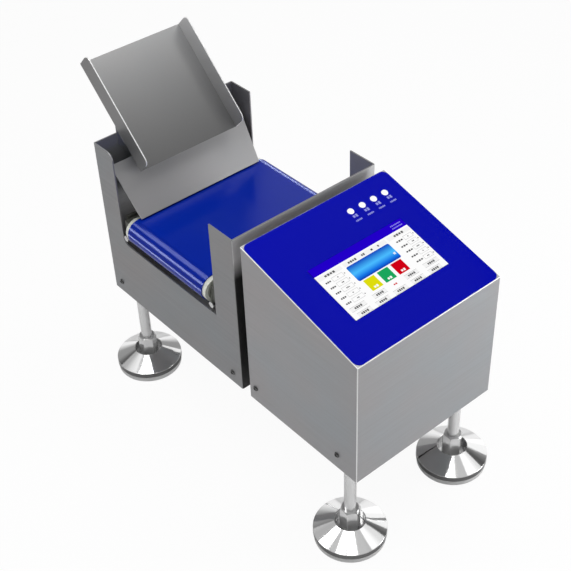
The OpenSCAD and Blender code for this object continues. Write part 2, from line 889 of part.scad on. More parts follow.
module foot_stem_front_left() foot_stem(0);
module foot_stem_rear_left() foot_stem(1);
module foot_stem_front_right() foot_stem(2);
module foot_stem_rear_right() foot_stem(3);
module foot_nut_front_left() foot_nut(0);
module foot_nut_rear_left() foot_nut(1);
module foot_nut_front_right() foot_nut(2);
module foot_nut_rear_right() foot_nut(3);
module foot_pad_front_left() foot_pad(0);
module foot_pad_rear_left() foot_pad(1);
module foot_pad_front_right() foot_pad(2);
module foot_pad_rear_right() foot_pad(3);

module load_cell() {
    color(ALLOY) difference() {
        block([cell_x0, -cell_w / 2, cell_z], [cell_x1, cell_w / 2, head_z]);
        for (x = [-1, 1] * cell_bean_gap / 2)
            translate([conveyor_cx + x, -cell_w / 2 - slop, cell_z + cell_h / 2])
                bar_y(cell_bean_r, cell_w + 2 * slop);
        block([conveyor_cx - cell_bean_gap / 2, -cell_w / 2 - slop, cell_z + cell_h / 2 - cell_bean_r / 2],
              [conveyor_cx + cell_bean_gap / 2, cell_w / 2 + slop, cell_z + cell_h / 2 + cell_bean_r / 2]);
        for (d = cell_bolt_inset) {
            translate([cell_x0 + d, 0, cell_z - slop])
                cylinder(r = cell_bolt_r + hole_fit, h = cell_bolt_depth + slop);
            translate([cell_x1 - d, 0, head_z - cell_bolt_depth])
                cylinder(r = cell_bolt_r + hole_fit, h = cell_bolt_depth + slop);
        }
    }
}

// Spacer block of the load cell from x, with its two bolt holes
module cell_block(x, z, h) {
    difference() {
        translate([x, -cell_w / 2, z]) cube([cell_block_l, cell_w, h]);
        for (d = cell_bolt_inset) {
            bolt_x = z < cell_z ? cell_x0 + d : cell_x1 - d;
            translate([bolt_x, 0, z - slop]) cylinder(r = cell_bolt_r + hole_fit, h = h + 2 * slop);
        }
    }
}

module load_cell_blocks() {
    color(ALLOY) {
        cell_block(cell_x0, base_z, cell_foot_h);
        cell_block(cell_x1 - cell_block_l, head_z, cell_head_h);
    }
}

module load_cell_bolts() {
    low_l = base_t + cell_foot_h + cell_bolt_depth - slop;
    high_l = frame_t + cell_head_h + cell_bolt_depth - slop;
    color(BRIGHT) for (d = cell_bolt_inset) {
        translate([cell_x0 + d, 0, leg_h]) {
            cylinder(r = cell_bolt_r, h = low_l);
            translate([0, 0, -cell_bolt_head_h]) cylinder(r = cell_bolt_head_r, h = cell_bolt_head_h);
        }
        translate([cell_x1 - d, 0, frame_top]) {
            translate([0, 0, -high_l]) cylinder(r = cell_bolt_r, h = high_l);
            cylinder(r = cell_bolt_head_r, h = cell_bolt_head_h);
        }
    }
}

module frame_screw_places() {
    for (side = [-1, 1], y = FRAME_SCREWS)
        translate([conveyor_cx + side * (plate_out - foot_flange / 2 - plate_t / 2), y, frame_z]) children();
}

module weigh_frame() {
    color(ALLOY) difference() {
        block([conveyor_cx - plate_out, web_y0, frame_z], [conveyor_cx + plate_out, web_y1, frame_top]);
        for (d = cell_bolt_inset) translate([cell_x1 - d, 0, frame_z - slop])
            cylinder(r = cell_bolt_r + hole_fit, h = frame_t + 2 * slop);
        frame_screw_places() translate([0, 0, -slop])
            cylinder(r = frame_screw_r + hole_fit, h = frame_t + 2 * slop);
    }
}

// Outline of a side plate: a long arm for the rollers and a web down to the weigh frame
module side_outline() {
    corners([-plate_end, plate_low], [plate_end, bed_z]);
    corners([web_y0, frame_top], [web_y1, bed_z]);
}

module side_plate(side) {
    difference() {
        union() {
            plate_yz(side > 0 ? plate_x : -plate_out, plate_t) side_outline();
            block([side > 0 ? plate_out - foot_flange : -plate_out, web_y0, frame_top],
                  [side > 0 ? plate_out : foot_flange - plate_out, web_y1, frame_top + plate_t]);
        }
        for (end = [-1, 1]) {
            translate([side * (plate_x - slop), end * roller_y, roller_z]) mirror([side < 0 ? 1 : 0, 0, 0])
                bar_x(shaft_hole_r, plate_t + 2 * slop);
            for (p = BLOCK_SCREWS)
                translate([side * (plate_x - slop), end * (roller_y - p[0]), roller_z + p[1]])
                mirror([side < 0 ? 1 : 0, 0, 0]) bar_x(cap_r + hole_fit, plate_t + 2 * slop);
            translate([side * (plate_x - slop), end * rod_y, rod_z]) mirror([side < 0 ? 1 : 0, 0, 0])
                bar_x(spigot_r + hole_fit, plate_t + 2 * slop);
        }
        for (y = FRAME_SCREWS)
            translate([side * (plate_out - foot_flange / 2 - plate_t / 2), y, frame_top - slop])
            cylinder(r = frame_screw_r + hole_fit, h = plate_t + 2 * slop);
        if (side > 0) translate([plate_x - slop, motor_y, motor_z]) {
            bar_x(motor_boss_r + hole_fit, plate_t + 2 * slop);
            motor_screw_places() bar_x(cap_r + hole_fit, plate_t + 2 * slop);
        }
    }
}

module motor_screw_places() {
    for (y = [-1, 1], z = [-1, 1])
        translate([0, y * motor_screw_pitch / 2, z * motor_screw_pitch / 2]) children();
}

module side_plate_left() {
    color(DARK) translate([conveyor_cx, 0, 0]) side_plate(-1);
}

module side_plate_right() {
    color(DARK) translate([conveyor_cx, 0, 0]) side_plate(1);
}

module frame_screws() {
    color(BRIGHT) frame_screw_places() {
        translate([0, 0, -frame_screw_head_h]) cylinder(r = frame_screw_head_r, h = frame_screw_head_h);
        cylinder(r = frame_screw_r, h = frame_t + plate_t);
    }
}

module cross_rods() {
    color(ALLOY) for (end = [-1, 1]) translate([conveyor_cx, end * rod_y, rod_z]) {
        translate([-plate_x, 0, 0]) bar_x(rod_r, 2 * plate_x);
        translate([-plate_out, 0, 0]) bar_x(spigot_r, 2 * plate_out);
    }
}

module slider_bed() {
    color(STEEL)
        block([conveyor_cx - plate_out, -bed_half, bed_z], [conveyor_cx + plate_out, bed_half, bed_top]);
}

// One bearing block, drawn for the right rear corner
module bearing_block(tapped) {
    difference() {
        block([block_x, -block_back, -block_down], [plate_x, block_front, block_up]);
        translate([block_x - slop, 0, 0]) bar_x(bearing_r + key_fit, bearing_w + slop);
        translate([block_x - slop, 0, 0]) bar_x(shaft_hole_r, block_t + 2 * slop);
        for (p = BLOCK_SCREWS) translate([plate_x - cap_depth, -p[0], p[1]])
            bar_x(cap_r + hole_fit, cap_depth + slop);
        if (tapped) translate([block_x + block_t / 2, block_front - tension_l, -tension_drop])
            bar_y(tension_r + hole_fit, tension_l + slop);
    }
}

module bearing_blocks() {
    color(DARK) for (side = [-1, 1], end = [-1, 1])
        translate([conveyor_cx, end * roller_y, roller_z]) scale_sides(side, end) bearing_block(end < 0);
}

module roller_bearings() {
    color(ALLOY) each_block() translate([block_x, 0, 0]) difference() {
        bar_x(bearing_r, bearing_w);
        translate([-slop, 0, 0]) bar_x(shaft_r + shaft_fit, bearing_w + 2 * slop);
    }
}

module tension_screws() {
    color(BRIGHT) for (side = [-1, 1]) translate([
        conveyor_cx + side * (block_x + block_t / 2), -roller_y - block_front, roller_z - tension_drop
    ]) {
        bar_y(tension_r, tension_l - slop);
        translate([0, -tension_head_h, 0])
            rotate([-90, 0, 0]) hexagon(2 * tension_head_r * cos(30), tension_head_h);
    }
}

// Roller with recessed end caps and its shaft, reaching out to the given place on the right
module roller(reach) {
    difference() {
        translate([-roller_l / 2, 0, 0]) bar_x(roller_r, roller_l);
        for (x = [-roller_l / 2 - slop, roller_l / 2 - cap_recess_depth])
            translate([x, 0, 0]) bar_x(cap_recess_r, cap_recess_depth + slop);
    }
    translate([-shaft_out, 0, 0]) bar_x(shaft_r, shaft_out + reach);
}

module idler_roller() {
    color(BRIGHT) translate([conveyor_cx, -roller_y, roller_z]) roller(shaft_out);
}

module drive_roller() {
    color(BRIGHT) translate([conveyor_cx, roller_y, roller_z]) roller(drive_end);
}

module weigh_belt() {
    color(BLUE) stand_yz(conveyor_cx - belt_w / 2)
        loop_band([-roller_y, roller_z], belt_in_r, [roller_y, roller_z], belt_in_r, belt_t, belt_w);
}

module drive_motor() {
    color(DARK) translate([conveyor_cx + plate_x, motor_y, motor_z]) difference() {
        union() {
            plate_yz(-motor_l, motor_l)
                rounded([-1, -1] * motor_size / 2, [1, 1] * motor_size / 2, motor_corner_r);
            bar_x(motor_boss_r, motor_boss_h);
        }
        translate([-motor_shaft_in - slop, 0, 0])
            bar_x(motor_shaft_r + shaft_fit, motor_shaft_in + motor_boss_h + 2 * slop);
        translate([-cap_depth, 0, 0]) motor_screw_places() bar_x(cap_r + hole_fit, cap_depth + slop);
    }
}

// Hexagon socket screw along -X from its seat at the origin, with its head outside
module cap_screw(l) {
    difference() {
        bar_x(cap_head_r, cap_head_h);
        translate([cap_head_h - cap_key_depth, 0, 0]) rotate([0, 90, 0])
            hexagon(cap_key_af, cap_key_depth + slop);
    }
    translate([-l, 0, 0]) bar_x(cap_r, l);
}

// Cap screws that hold the bearing blocks and the motor to the side plates
module side_plate_screws() {
    color(BRIGHT) {
        each_block() for (p = BLOCK_SCREWS) translate([plate_out, -p[0], p[1]])
            cap_screw(plate_t + cap_depth - slop);
        translate([conveyor_cx + plate_out, motor_y, motor_z]) motor_screw_places()
            cap_screw(plate_t + cap_depth - slop);
    }
}

module motor_shaft() {
    color(BRIGHT) translate([conveyor_cx + plate_x - motor_shaft_in, motor_y, motor_z])
        bar_x(motor_shaft_r, drive_end - plate_x + motor_shaft_in);
}

// Flanged timing pulley along X from the origin
module pulley(teeth, r, bore) {
    l = pulley_w + 2 * pulley_flange_t;
    difference() {
        union() {
            plate_yz(0, l) tooth_outline(teeth, r);
            for (x = [0, l - pulley_flange_t])
                translate([x, 0, 0]) bar_x(r + pulley_flange_h, pulley_flange_t);
        }
        translate([-slop, 0, 0]) bar_x(bore + key_fit, l + 2 * slop);
    }
}

module motor_pulley() {
    color(ALLOY) translate([conveyor_cx + pulley_x, motor_y, motor_z])
        pulley(motor_teeth, motor_pulley_r, motor_shaft_r);
}

module roller_pulley() {
    color(ALLOY) translate([conveyor_cx + pulley_x, roller_y, roller_z])
        pulley(roller_teeth, roller_pulley_r, shaft_r);
}

module timing_belt() {
    x = conveyor_cx + pulley_x + pulley_flange_t + (pulley_w - timing_w) / 2;
    color(DARK) stand_yz(x) loop_band(
        [motor_y, motor_z], motor_pulley_r + run_gap, [roller_y, roller_z], roller_pulley_r + run_gap,
        timing_t, timing_w);
}

// Side flange of the tray, drawn along the slope and out of it, with both top corners round
module flange_outline() {
    corners([0, -chute_t], [chute_l, chute_flange_h - chute_r]);
    corners([chute_r, 0], [chute_l - chute_r, chute_flange_h]);
    for (x = [chute_r, chute_l - chute_r]) translate([x, chute_flange_h - chute_r]) circle(chute_r);
}

module chute_tray() {
    color(STEEL) on_chute() {
        translate([0, -chute_w / 2, -chute_t]) cube([chute_l, chute_w, chute_t]);
        for (y = [-chute_w / 2, chute_w / 2 - chute_t]) plate_xz(y, chute_t) flange_outline();
    }
}

// Height of the tray's underside at a place along X
function tray_under(x) =
    chute_low[1] + (chute_low[0] - x) * tan(chute_angle) - chute_t / cos(chute_angle);

// Bracket on the left end wall whose folded top carries the tray
module chute_support() {
    wall_out = wall_in + chute_t;
    side = chute_w / 2 + slop;
    low_side = chute_w / 2 - support_taper;
    taper_z = top_z - support_taper;
    low_z = support_low_z - slop;
    high_z = tray_under(wall_in) + slop;
    color(STEEL) difference() {
        intersection() {
            plate_xz(-chute_w / 2, chute_w) polygon([
                [wall_in, support_low_z], [wall_out, support_low_z],
                [wall_out, tray_under(wall_out) - support_fold_h],
                [support_fold_x, tray_under(support_fold_x) - support_fold_h],
                [support_fold_x, tray_under(support_fold_x)], [wall_in, tray_under(wall_in)]
            ]);
            plate_yz(wall_in - slop, support_fold_l + 2 * slop) polygon([
                [-side, taper_z], [-low_side, low_z], [low_side, low_z],
                [side, taper_z], [side, high_z], [-side, high_z]
            ]);
        }
        wall_screw_holes();
    }
}

module guide_plate() {
    color(STEEL) on_guide() translate([0, 0, -chute_t]) linear_extrude(chute_t) polygon([
        [0, -guide_low_w / 2], [guide_l, -guide_high_w / 2],
        [guide_l, guide_high_w / 2], [0, guide_low_w / 2]
    ]);
}

// Brackets that hold the guide plate off the left end wall
module guide_brackets() {
    color(STEEL) difference() {
        for (y = [-bracket_y, bracket_y]) {
            y0 = y - bracket_w / 2;
            y1 = y + bracket_w / 2;
            block([wall_in, y0, bracket_z - bracket_tab], [wall_in + chute_t, y1, bracket_z]);
            block([wall_in, y0, bracket_z - chute_t], [guide_back_x, y1, bracket_z]);
            on_guide() translate([bracket_s - bracket_tab / 2, y0, -2 * chute_t])
                cube([bracket_tab, bracket_w, chute_t]);
        }
        wall_screw_holes();
    }
}

// Screw through the end wall with its nut inside
module wall_screw() {
    l = sheet_t + chute_t + wall_nut_h + slop;
    rotate([0, 90, 0]) pan_screw(wall_screw_r, l, wall_screw_head_r, wall_screw_head_h);
    translate([sheet_t + chute_t, 0, 0]) rotate([0, 90, 0]) hexagon(2 * wall_nut_r * cos(30), wall_nut_h);
}

module wall_screws() {
    color(BRIGHT) {
        for (p = SUPPORT_SCREWS) translate([conveyor_x0, p[0], p[1]]) wall_screw();
        for (p = BRACKET_SCREWS) translate([conveyor_x0, p[0], p[1]]) wall_screw();
        for (p = COVER_SCREWS) translate([conveyor_x1, p[0], p[1]]) mirror([1, 0, 0]) wall_screw();
    }
}

// Folded cover over the timing belt, held to the right end wall just above the belt
module drive_cover() {
    wall = conveyor_x1 - sheet_t;
    color(STEEL) difference() {
        union() {
            block([cover_x, -cover_front, cover_z], [wall, cover_rear, cover_z + chute_t]);
            block([wall - chute_t, -cover_front, cover_z], [wall, cover_rear, cover_z + cover_flange_h]);
        }
        wall_screw_holes();
    }
}

module panel_overlay() {
    color(BLUE) on_panel() difference() {
        linear_extrude(overlay_t) rounded(
            [overlay_inset, overlay_inset - half_w],
            [panel_l - overlay_inset, half_w - overlay_inset], overlay_r);
        window_cut(0);
        lamp_row() translate([0, 0, -slop]) cylinder(r = lamp_d / 2 + lamp_fit, h = overlay_t + 2 * slop);
    }
}

module display_glass() {
    color("white") on_panel()
        translate([window_u + glass_fit, window_y - window_w / 2 + glass_fit, -sheet_t])
        cube([window_h - 2 * glass_fit, window_w - 2 * glass_fit, sheet_t + overlay_t + glass_proud]);
}

// Display module under the panel, with the clips that hold it to the panel's underside
module display_module() {
    u0 = window_u - display_rim;
    u1 = window_u + window_h + display_rim;
    y0 = window_y - window_w / 2 - display_rim;
    y1 = window_y + window_w / 2 + display_rim;
    color(DARK) on_panel() {
        block([u0, y0, -sheet_t - display_t], [u1, y1, -sheet_t]);
        for (u = [u0 + clip_w, u1 - 2 * clip_w], y = [y0 - clip_t, y1])
            block([u, y, -sheet_t - display_t], [u + clip_w, y + clip_t, -sheet_t]);
    }
}

module indicator_lamps() {
    color("white") on_panel() lamp_row() {
        translate([0, 0, -sheet_t - lamp_depth]) cylinder(d = lamp_d, h = sheet_t + lamp_depth + overlay_t);
        translate([0, 0, overlay_t]) cylinder(d1 = lamp_d, d2 = lamp_d - lamp_proud, h = lamp_proud);
    }
}

module lamp_board() {
    y0 = lamp_y - lamp_board_margin;
    y1 = lamp_y + (lamp_count - 1) * lamp_pitch + lamp_board_margin;
    z1 = -sheet_t - lamp_depth;
    color(BOARD) on_panel() {
        block([lamp_u - lamp_board_w / 2, y0, z1 - lamp_board_t], [lamp_u + lamp_board_w / 2, y1, z1]);
        for (y = [y0 + lamp_post_r, y1 - lamp_post_r])
            translate([lamp_u, y, z1]) cylinder(r = lamp_post_r, h = lamp_depth);
    }
}

// Controller board on four posts, with its chips and sockets
module controller_board() {
    z = base_z + post_h;
    color(BOARD) translate([electrics_x, board_y, 0]) {
        block([0, 0, z], [board_l, board_w, board_top]);
        for (x = [post_inset, board_l - post_inset], y = [post_inset, board_w - post_inset])
            translate([x, y, base_z]) cylinder(r = post_r, h = post_h);
        translate([(board_l - plug_size) / 2, (board_w - plug_size) / 2, board_top])
            cube([plug_size, plug_size, plug_h]);
        translate([chip_inset, chip_inset, board_top]) cube([chip_size, chip_size, chip_h]);
        for (i = [0:socket_count - 1])
            translate([socket_first + i * socket_step, board_w - socket_first, board_top]) cube(socket_size);
        for (i = [0, 1])
            translate([board_l - can_inset, can_first + i * can_step, board_top])
                cylinder(r = can_r, h = can_h);
    }
}

// Power supply with its terminals
module power_supply() {
    color(ALLOY) translate([electrics_x, supply_y, base_z]) {
        cube([supply_l, supply_w, supply_h]);
        translate([supply_l, terminal_inset, terminal_inset])
            cube([terminal_t, supply_w - 2 * terminal_inset, terminal_h]);
    }
}

// Motor driver with a finned heat sink
module motor_driver() {
    color(DARK) translate([driver_x, -driver_w / 2, base_z]) {
        cube([driver_l, driver_w, driver_h / 2]);
        for (i = [0:fin_count - 1]) translate([0, i * (driver_w - fin_t) / (fin_count - 1), 0])
            cube([driver_l, fin_t, driver_h]);
    }
}

// Mains inlet with its three pins
module power_inlet() {
    back = inlet_face_t - inlet_socket_depth;
    color(DARK) translate([inlet_x, half_w, inlet_z]) {
        difference() {
            union() {
                block([-inlet_w / 2, 0, -inlet_face_h / 2], [inlet_w / 2, inlet_face_t, inlet_face_h / 2]);
                block([-inlet_body_w / 2, -inlet_depth, -inlet_body_h / 2],
                      [inlet_body_w / 2, 0, inlet_body_h / 2]);
            }
            block([-inlet_socket_w / 2, back, -inlet_socket_h / 2],
                  [inlet_socket_w / 2, inlet_face_t + slop, inlet_socket_h / 2]);
        }
        for (p = INLET_PINS)
            block([p[0] - pin_t / 2, back - slop, p[1] - pin_t],
                  [p[0] + pin_t / 2, back + pin_l, p[1] + pin_t]);
    }
}

// Frame of the power switch, open for its rocker
module switch_frame() {
    color(DARK) translate([switch_x, half_w, inlet_z]) difference() {
        union() {
            block([-switch_w / 2, 0, -switch_face_h / 2], [switch_w / 2, switch_face_t, switch_face_h / 2]);
            block([-switch_body_w / 2, -switch_depth, -switch_body_h / 2],
                  [switch_body_w / 2, 0, switch_body_h / 2]);
        }
        block([-rocker_w / 2 - run_gap, -rocker_room, -rocker_h / 2 - slop],
              [rocker_w / 2 + run_gap, switch_face_t + slop, rocker_h / 2 + slop]);
        translate([-switch_w, rocker_axis_y - half_w, 0]) bar_x(rocker_pin_r + shaft_fit, 2 * switch_w);
    }
}

// Rocker turned to its off side, with a shallow V face and its pivot pin
module power_rocker() {
    color("black") translate([switch_x, rocker_axis_y, inlet_z]) rotate([rocker_tilt, 0, 0]) {
        plate_yz(-rocker_w / 2, rocker_w) polygon([
            [-rocker_back, -rocker_h / 3], [rocker_nose / 2, -rocker_h / 2 + rocker_ease],
            [rocker_nose, -rocker_h / 2 + rocker_ease], [rocker_nose - rocker_dip, 0],
            [rocker_nose, rocker_h / 2 - rocker_ease], [rocker_nose / 2, rocker_h / 2 - rocker_ease],
            [-rocker_back, rocker_h / 3]
        ]);
        translate([-rocker_pin_l / 2, 0, 0]) bar_x(rocker_pin_r, rocker_pin_l);
    }
}

conveyor_housing();
conveyor_base();
control_housing();
control_base();
housing_screws();
joining_spacers();
joining_bolts();
cable_conduit();
signal_cable();
foot_sockets();
foot_stem_front_left();
foot_stem_rear_left();
foot_stem_front_right();
foot_stem_rear_right();
foot_nut_front_left();
foot_nut_rear_left();
foot_nut_front_right();
foot_nut_rear_right();
foot_pad_front_left();
foot_pad_rear_left();
foot_pad_front_right();
foot_pad_rear_right();
load_cell();
load_cell_blocks();
load_cell_bolts();
weigh_frame();
side_plate_left();
side_plate_right();
frame_screws();
cross_rods();
slider_bed();
bearing_blocks();
roller_bearings();
tension_screws();
idler_roller();
drive_roller();
weigh_belt();
drive_motor();
side_plate_screws();
motor_shaft();
motor_pulley();
roller_pulley();
timing_belt();
chute_tray();
chute_support();
guide_plate();
guide_brackets();
drive_cover();
wall_screws();
panel_overlay();
display_glass();
display_module();
indicator_lamps();
lamp_board();
controller_board();
power_supply();
motor_driver();
power_inlet();
switch_frame();
power_rocker();
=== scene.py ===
"""Looks of a small conveyor checkweigher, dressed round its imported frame.

Metres, +Z up, -Y the front, +X towards the control box.
"""
import json
import math

import bmesh
import bpy
from mathutils import Matrix, Vector

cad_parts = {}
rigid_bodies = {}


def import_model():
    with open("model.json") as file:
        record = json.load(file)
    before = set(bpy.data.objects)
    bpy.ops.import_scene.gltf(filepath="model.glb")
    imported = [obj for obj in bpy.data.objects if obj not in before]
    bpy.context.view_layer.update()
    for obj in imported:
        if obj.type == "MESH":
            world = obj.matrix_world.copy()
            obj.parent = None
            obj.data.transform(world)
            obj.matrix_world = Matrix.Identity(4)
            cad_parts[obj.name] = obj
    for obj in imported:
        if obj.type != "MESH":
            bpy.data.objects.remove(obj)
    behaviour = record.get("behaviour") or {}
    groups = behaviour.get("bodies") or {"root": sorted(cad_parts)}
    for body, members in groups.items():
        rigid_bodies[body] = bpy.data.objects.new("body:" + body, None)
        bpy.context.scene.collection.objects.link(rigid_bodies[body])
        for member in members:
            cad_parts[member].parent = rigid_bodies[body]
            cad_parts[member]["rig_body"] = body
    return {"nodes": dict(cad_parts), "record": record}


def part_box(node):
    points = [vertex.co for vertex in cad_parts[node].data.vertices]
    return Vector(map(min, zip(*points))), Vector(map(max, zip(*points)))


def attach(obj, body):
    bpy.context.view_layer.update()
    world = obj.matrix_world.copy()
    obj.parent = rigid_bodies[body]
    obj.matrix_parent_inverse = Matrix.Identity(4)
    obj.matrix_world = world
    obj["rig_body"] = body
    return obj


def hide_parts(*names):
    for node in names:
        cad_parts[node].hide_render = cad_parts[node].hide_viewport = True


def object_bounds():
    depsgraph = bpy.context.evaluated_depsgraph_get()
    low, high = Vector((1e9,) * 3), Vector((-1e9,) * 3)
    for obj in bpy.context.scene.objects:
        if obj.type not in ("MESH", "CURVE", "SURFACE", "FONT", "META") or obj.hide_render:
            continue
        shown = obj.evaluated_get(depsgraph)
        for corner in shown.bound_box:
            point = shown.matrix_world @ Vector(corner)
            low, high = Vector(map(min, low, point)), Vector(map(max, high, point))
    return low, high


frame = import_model()
cad_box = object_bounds()
nodes = frame["nodes"]
scene = bpy.context.scene

MM = 0.001
FRAME_PIXELS = 571

# The photograph's camera, fitted to the box edges
CAMERA_X, CAMERA_Y = 0.96803, -0.77266
CAMERA_OVER_HOUSING = 0.84697
CAMERA_AZIMUTH = math.radians(50.871)
CAMERA_ELEVATION = math.radians(39.617)
CAMERA_ROLL = math.radians(-2.428)
CAMERA_FOCAL_PIXELS = 1161.95
SENSOR_WIDTH = 36.0

# Edge rounding
WELD = 1e-6
FLAT_ANGLE = math.radians(0.5)
SHARP_ANGLE = math.radians(35)
SMOOTH_ANGLE = math.radians(31)
FOLD_RADIUS = 1.6 * MM
PANEL_FOLD_RADIUS = 0.95 * MM
TRAY_FOLD_RADIUS = 1.1 * MM
TRAY_RIM_RADIUS = 0.6 * MM
SHEET_EDGE = 0.35 * MM
SMALL_EDGE = 0.2 * MM
FOLD_SEGMENTS = 4
RIM_SEGMENTS = 3
AS_BESIDE = -1

# Tests on edges and faces
NEAR = 10 * WELD
FACING = 0.9
FACING_UP = 0.5
LONG_EDGE = 100 * MM
PANEL_OVER_BOTTOM = 50 * MM
RIM_WIDTH = 3 * MM
RIM_TILT = 0.2

# Grain of the materials: noise scales for each axis, swings of roughness, and depths
NOISE_LOW, NOISE_HIGH = 0.3, 0.7
CLOUD_SCALE = (5, 5, 6)
BRUSH_SCALE = (7, 7, 380)
BRUSH_SWING = 0.03
BRUSH_BUMP = 0.02
GRAIN_DEPTH = 0.05 * MM
GRAIN_SMOOTHER, GRAIN_ROUGHER = 0.03, 0.05
RING_SMOOTHER, RING_ROUGHER = 0.02, 0.05
RAY_SCALE = 5.0
BELT_CLOUD_SCALE = (9, 9, 9)
BELT_ROUGHNESS, BELT_SWING, BELT_SPECULAR = 0.15, 0.01, 0.14
LIT_ROUGHNESS = 0.35

# Sockets of the Mix node in its colour form
MIX_FACTOR, MIX_FIRST, MIX_SECOND, MIX_RESULT = 0, 6, 7, 2

# Painted shade: the conveyor's outer wall is painted dull and dark low in the gap between the housings
GAP_SHADE_FROM = 32 * MM
GAP_SHADE_FADE = 30 * MM
GAP_SHADE_LEVEL = 44

# Painted shade: grey levels that the tray's sheets are painted down to at the lower end
TRAY_SHADE_LEVEL = 138
INNER_FLANGE_SHADE_LEVEL = 150


def srgb(red, green, blue):
    """Linear colour of a screen colour given from 0 to 255."""
    def channel(c):
        c = c / 255
        return c / 12.92 if c <= 0.04045 else ((c + 0.055) / 1.055) ** 2.4
    return channel(red), channel(green), channel(blue), 1.0


def grey(level):
    """Linear colour of a grey given from 0 to 255."""
    return srgb(level, level, level)


# Node materials

def new_shader(name, color, roughness, **sockets):
    """A principled material; sockets are named with underscores, such as Coat_Weight."""
    material = bpy.data.materials.new(name)
    material.use_nodes = True
    bsdf = material.node_tree.nodes["Principled BSDF"]
    bsdf.inputs["Base Color"].default_value = color
    bsdf.inputs["Roughness"].default_value = roughness
    for key, value in sockets.items():
        bsdf.inputs[key.replace("_", " ")].default_value = value
    return material, material.node_tree, bsdf


def add_node(tree, kind, **values):
    """A node with its inputs set by capitalised name, and its properties by lower-case name."""
    made = tree.nodes.new(kind)
    for key, value in values.items():
        if key[0].isupper():
            made.inputs[key.replace("_", " ")].default_value = value
        else:
            setattr(made, key, value)
    return made


def vector_math(tree, operation, first, second=None):
    """Vector maths on a socket, with a second value that is constant."""
    made = add_node(tree, "ShaderNodeVectorMath", operation=operation)
    tree.links.new(first, made.inputs[0])
    if second is not None:
        made.inputs[1].default_value = second
    return made.outputs["Value" if operation == "LENGTH" else "Vector"]


def noise(tree, scale, detail=3.0, roughness=0.6):
    """Noise in the object's frame, stretched by a scale for each axis; gives its factor socket."""
    place = add_node(tree, "ShaderNodeTexCoord")
    made = add_node(tree, "ShaderNodeTexNoise", Scale=1.0, Detail=detail, Roughness=roughness)
    stretched = vector_math(tree, "MULTIPLY", place.outputs["Object"], scale)
    tree.links.new(stretched, made.inputs["Vector"])
    return made.outputs["Fac"]


def spread(tree, factor, low, high):
    """Maps noise, which stays mostly between its low and high values, to another range."""
    made = add_node(tree, "ShaderNodeMapRange", From_Min=NOISE_LOW, From_Max=NOISE_HIGH,
                    To_Min=low, To_Max=high)
    tree.links.new(factor, made.inputs["Value"])
    return made.outputs["Result"]


def blend_colors(tree, factor, first, second):
    """Colour between two, each a colour or a socket."""
    mix = add_node(tree, "ShaderNodeMix", data_type="RGBA")
    for number, value in ((MIX_FIRST, first), (MIX_SECOND, second)):
        if isinstance(value, tuple):
            mix.inputs[number].default_value = value
        else:
            tree.links.new(value, mix.inputs[number])
    tree.links.new(factor, mix.inputs[MIX_FACTOR])
    return mix.outputs[MIX_RESULT]


def add_bump(tree, bsdf, height, strength, distance):
    """Bumps a shader's surface by a height socket."""
    bump = add_node(tree, "ShaderNodeBump", Strength=strength, Distance=distance)
    tree.links.new(height, bump.inputs["Height"])
    tree.links.new(bump.outputs["Normal"], bsdf.inputs["Normal"])


def sheet_metal(name, level, roughness, metallic, streak=12, tint=4, brushed=True):
    """Satin stainless sheet: faint level brush lines over a cloudy tone with a hint of cool and warm."""
    material, tree, bsdf = new_shader(name, grey(level), roughness, Metallic=metallic)
    cloud = noise(tree, CLOUD_SCALE, detail=2.0)
    cool = srgb(level - tint, level, level + tint)
    warm = srgb(level + tint, level - tint / 2, level - tint / 2)
    tone = blend_colors(tree, spread(tree, cloud, 0.0, 1.0), cool, warm)
    if brushed:
        lines = noise(tree, BRUSH_SCALE, detail=4.0)
        tone = blend_colors(tree, spread(tree, lines, 0.5, 0.0), tone, grey(level - streak))
        rough = spread(tree, lines, roughness + BRUSH_SWING, roughness - BRUSH_SWING)
        tree.links.new(rough, bsdf.inputs["Roughness"])
        add_bump(tree, bsdf, lines, BRUSH_BUMP, GRAIN_DEPTH)
    tree.links.new(tone, bsdf.inputs["Base Color"])
    return material


def paint_shade_below(material, top, fade, level):
    """Paints shade on a sheet: lets it come down to a grey level, over a stretch of fade below a height."""
    tree = material.node_tree
    color = tree.nodes["Principled BSDF"].inputs["Base Color"]
    place = add_node(tree, "ShaderNodeTexCoord")
    split = add_node(tree, "ShaderNodeSeparateXYZ")
    share = add_node(tree, "ShaderNodeMapRange", From_Min=top - fade, From_Max=top)
    tree.links.new(place.outputs["Object"], split.inputs["Vector"])
    tree.links.new(split.outputs["Z"], share.inputs["Value"])
    tone = blend_colors(tree, share.outputs["Result"], grey(level), color.links[0].from_socket)
    tree.links.new(tone, color)


def turned_metal(name, level, roughness, chatter=0.0, rings=60, metallic=1.0):
    """Metal turned round the piece's upright axis: fine rings, and faint rays where the tool chattered."""
    material, tree, bsdf = new_shader(name, grey(level), roughness, Metallic=metallic)
    place = add_node(tree, "ShaderNodeTexCoord")
    centred = vector_math(tree, "SUBTRACT", place.outputs["Generated"], (0.5, 0.5, 0.0))
    flat = vector_math(tree, "MULTIPLY", centred, (1.0, 1.0, 0.0))
    lines = add_node(tree, "ShaderNodeTexNoise", noise_dimensions="1D", Scale=rings, Detail=2.0)
    tree.links.new(vector_math(tree, "LENGTH", flat), lines.inputs["W"])
    rough = spread(tree, lines.outputs["Fac"], roughness - RING_SMOOTHER, roughness + RING_ROUGHER)
    tree.links.new(rough, bsdf.inputs["Roughness"])
    if chatter:
        rays = add_node(tree, "ShaderNodeTexNoise", Scale=RAY_SCALE, Detail=3.0, Roughness=0.6)
        tree.links.new(vector_math(tree, "NORMALIZE", flat), rays.inputs["Vector"])
        add_bump(tree, bsdf, rays.outputs["Fac"], 1.0, chatter)
    return material


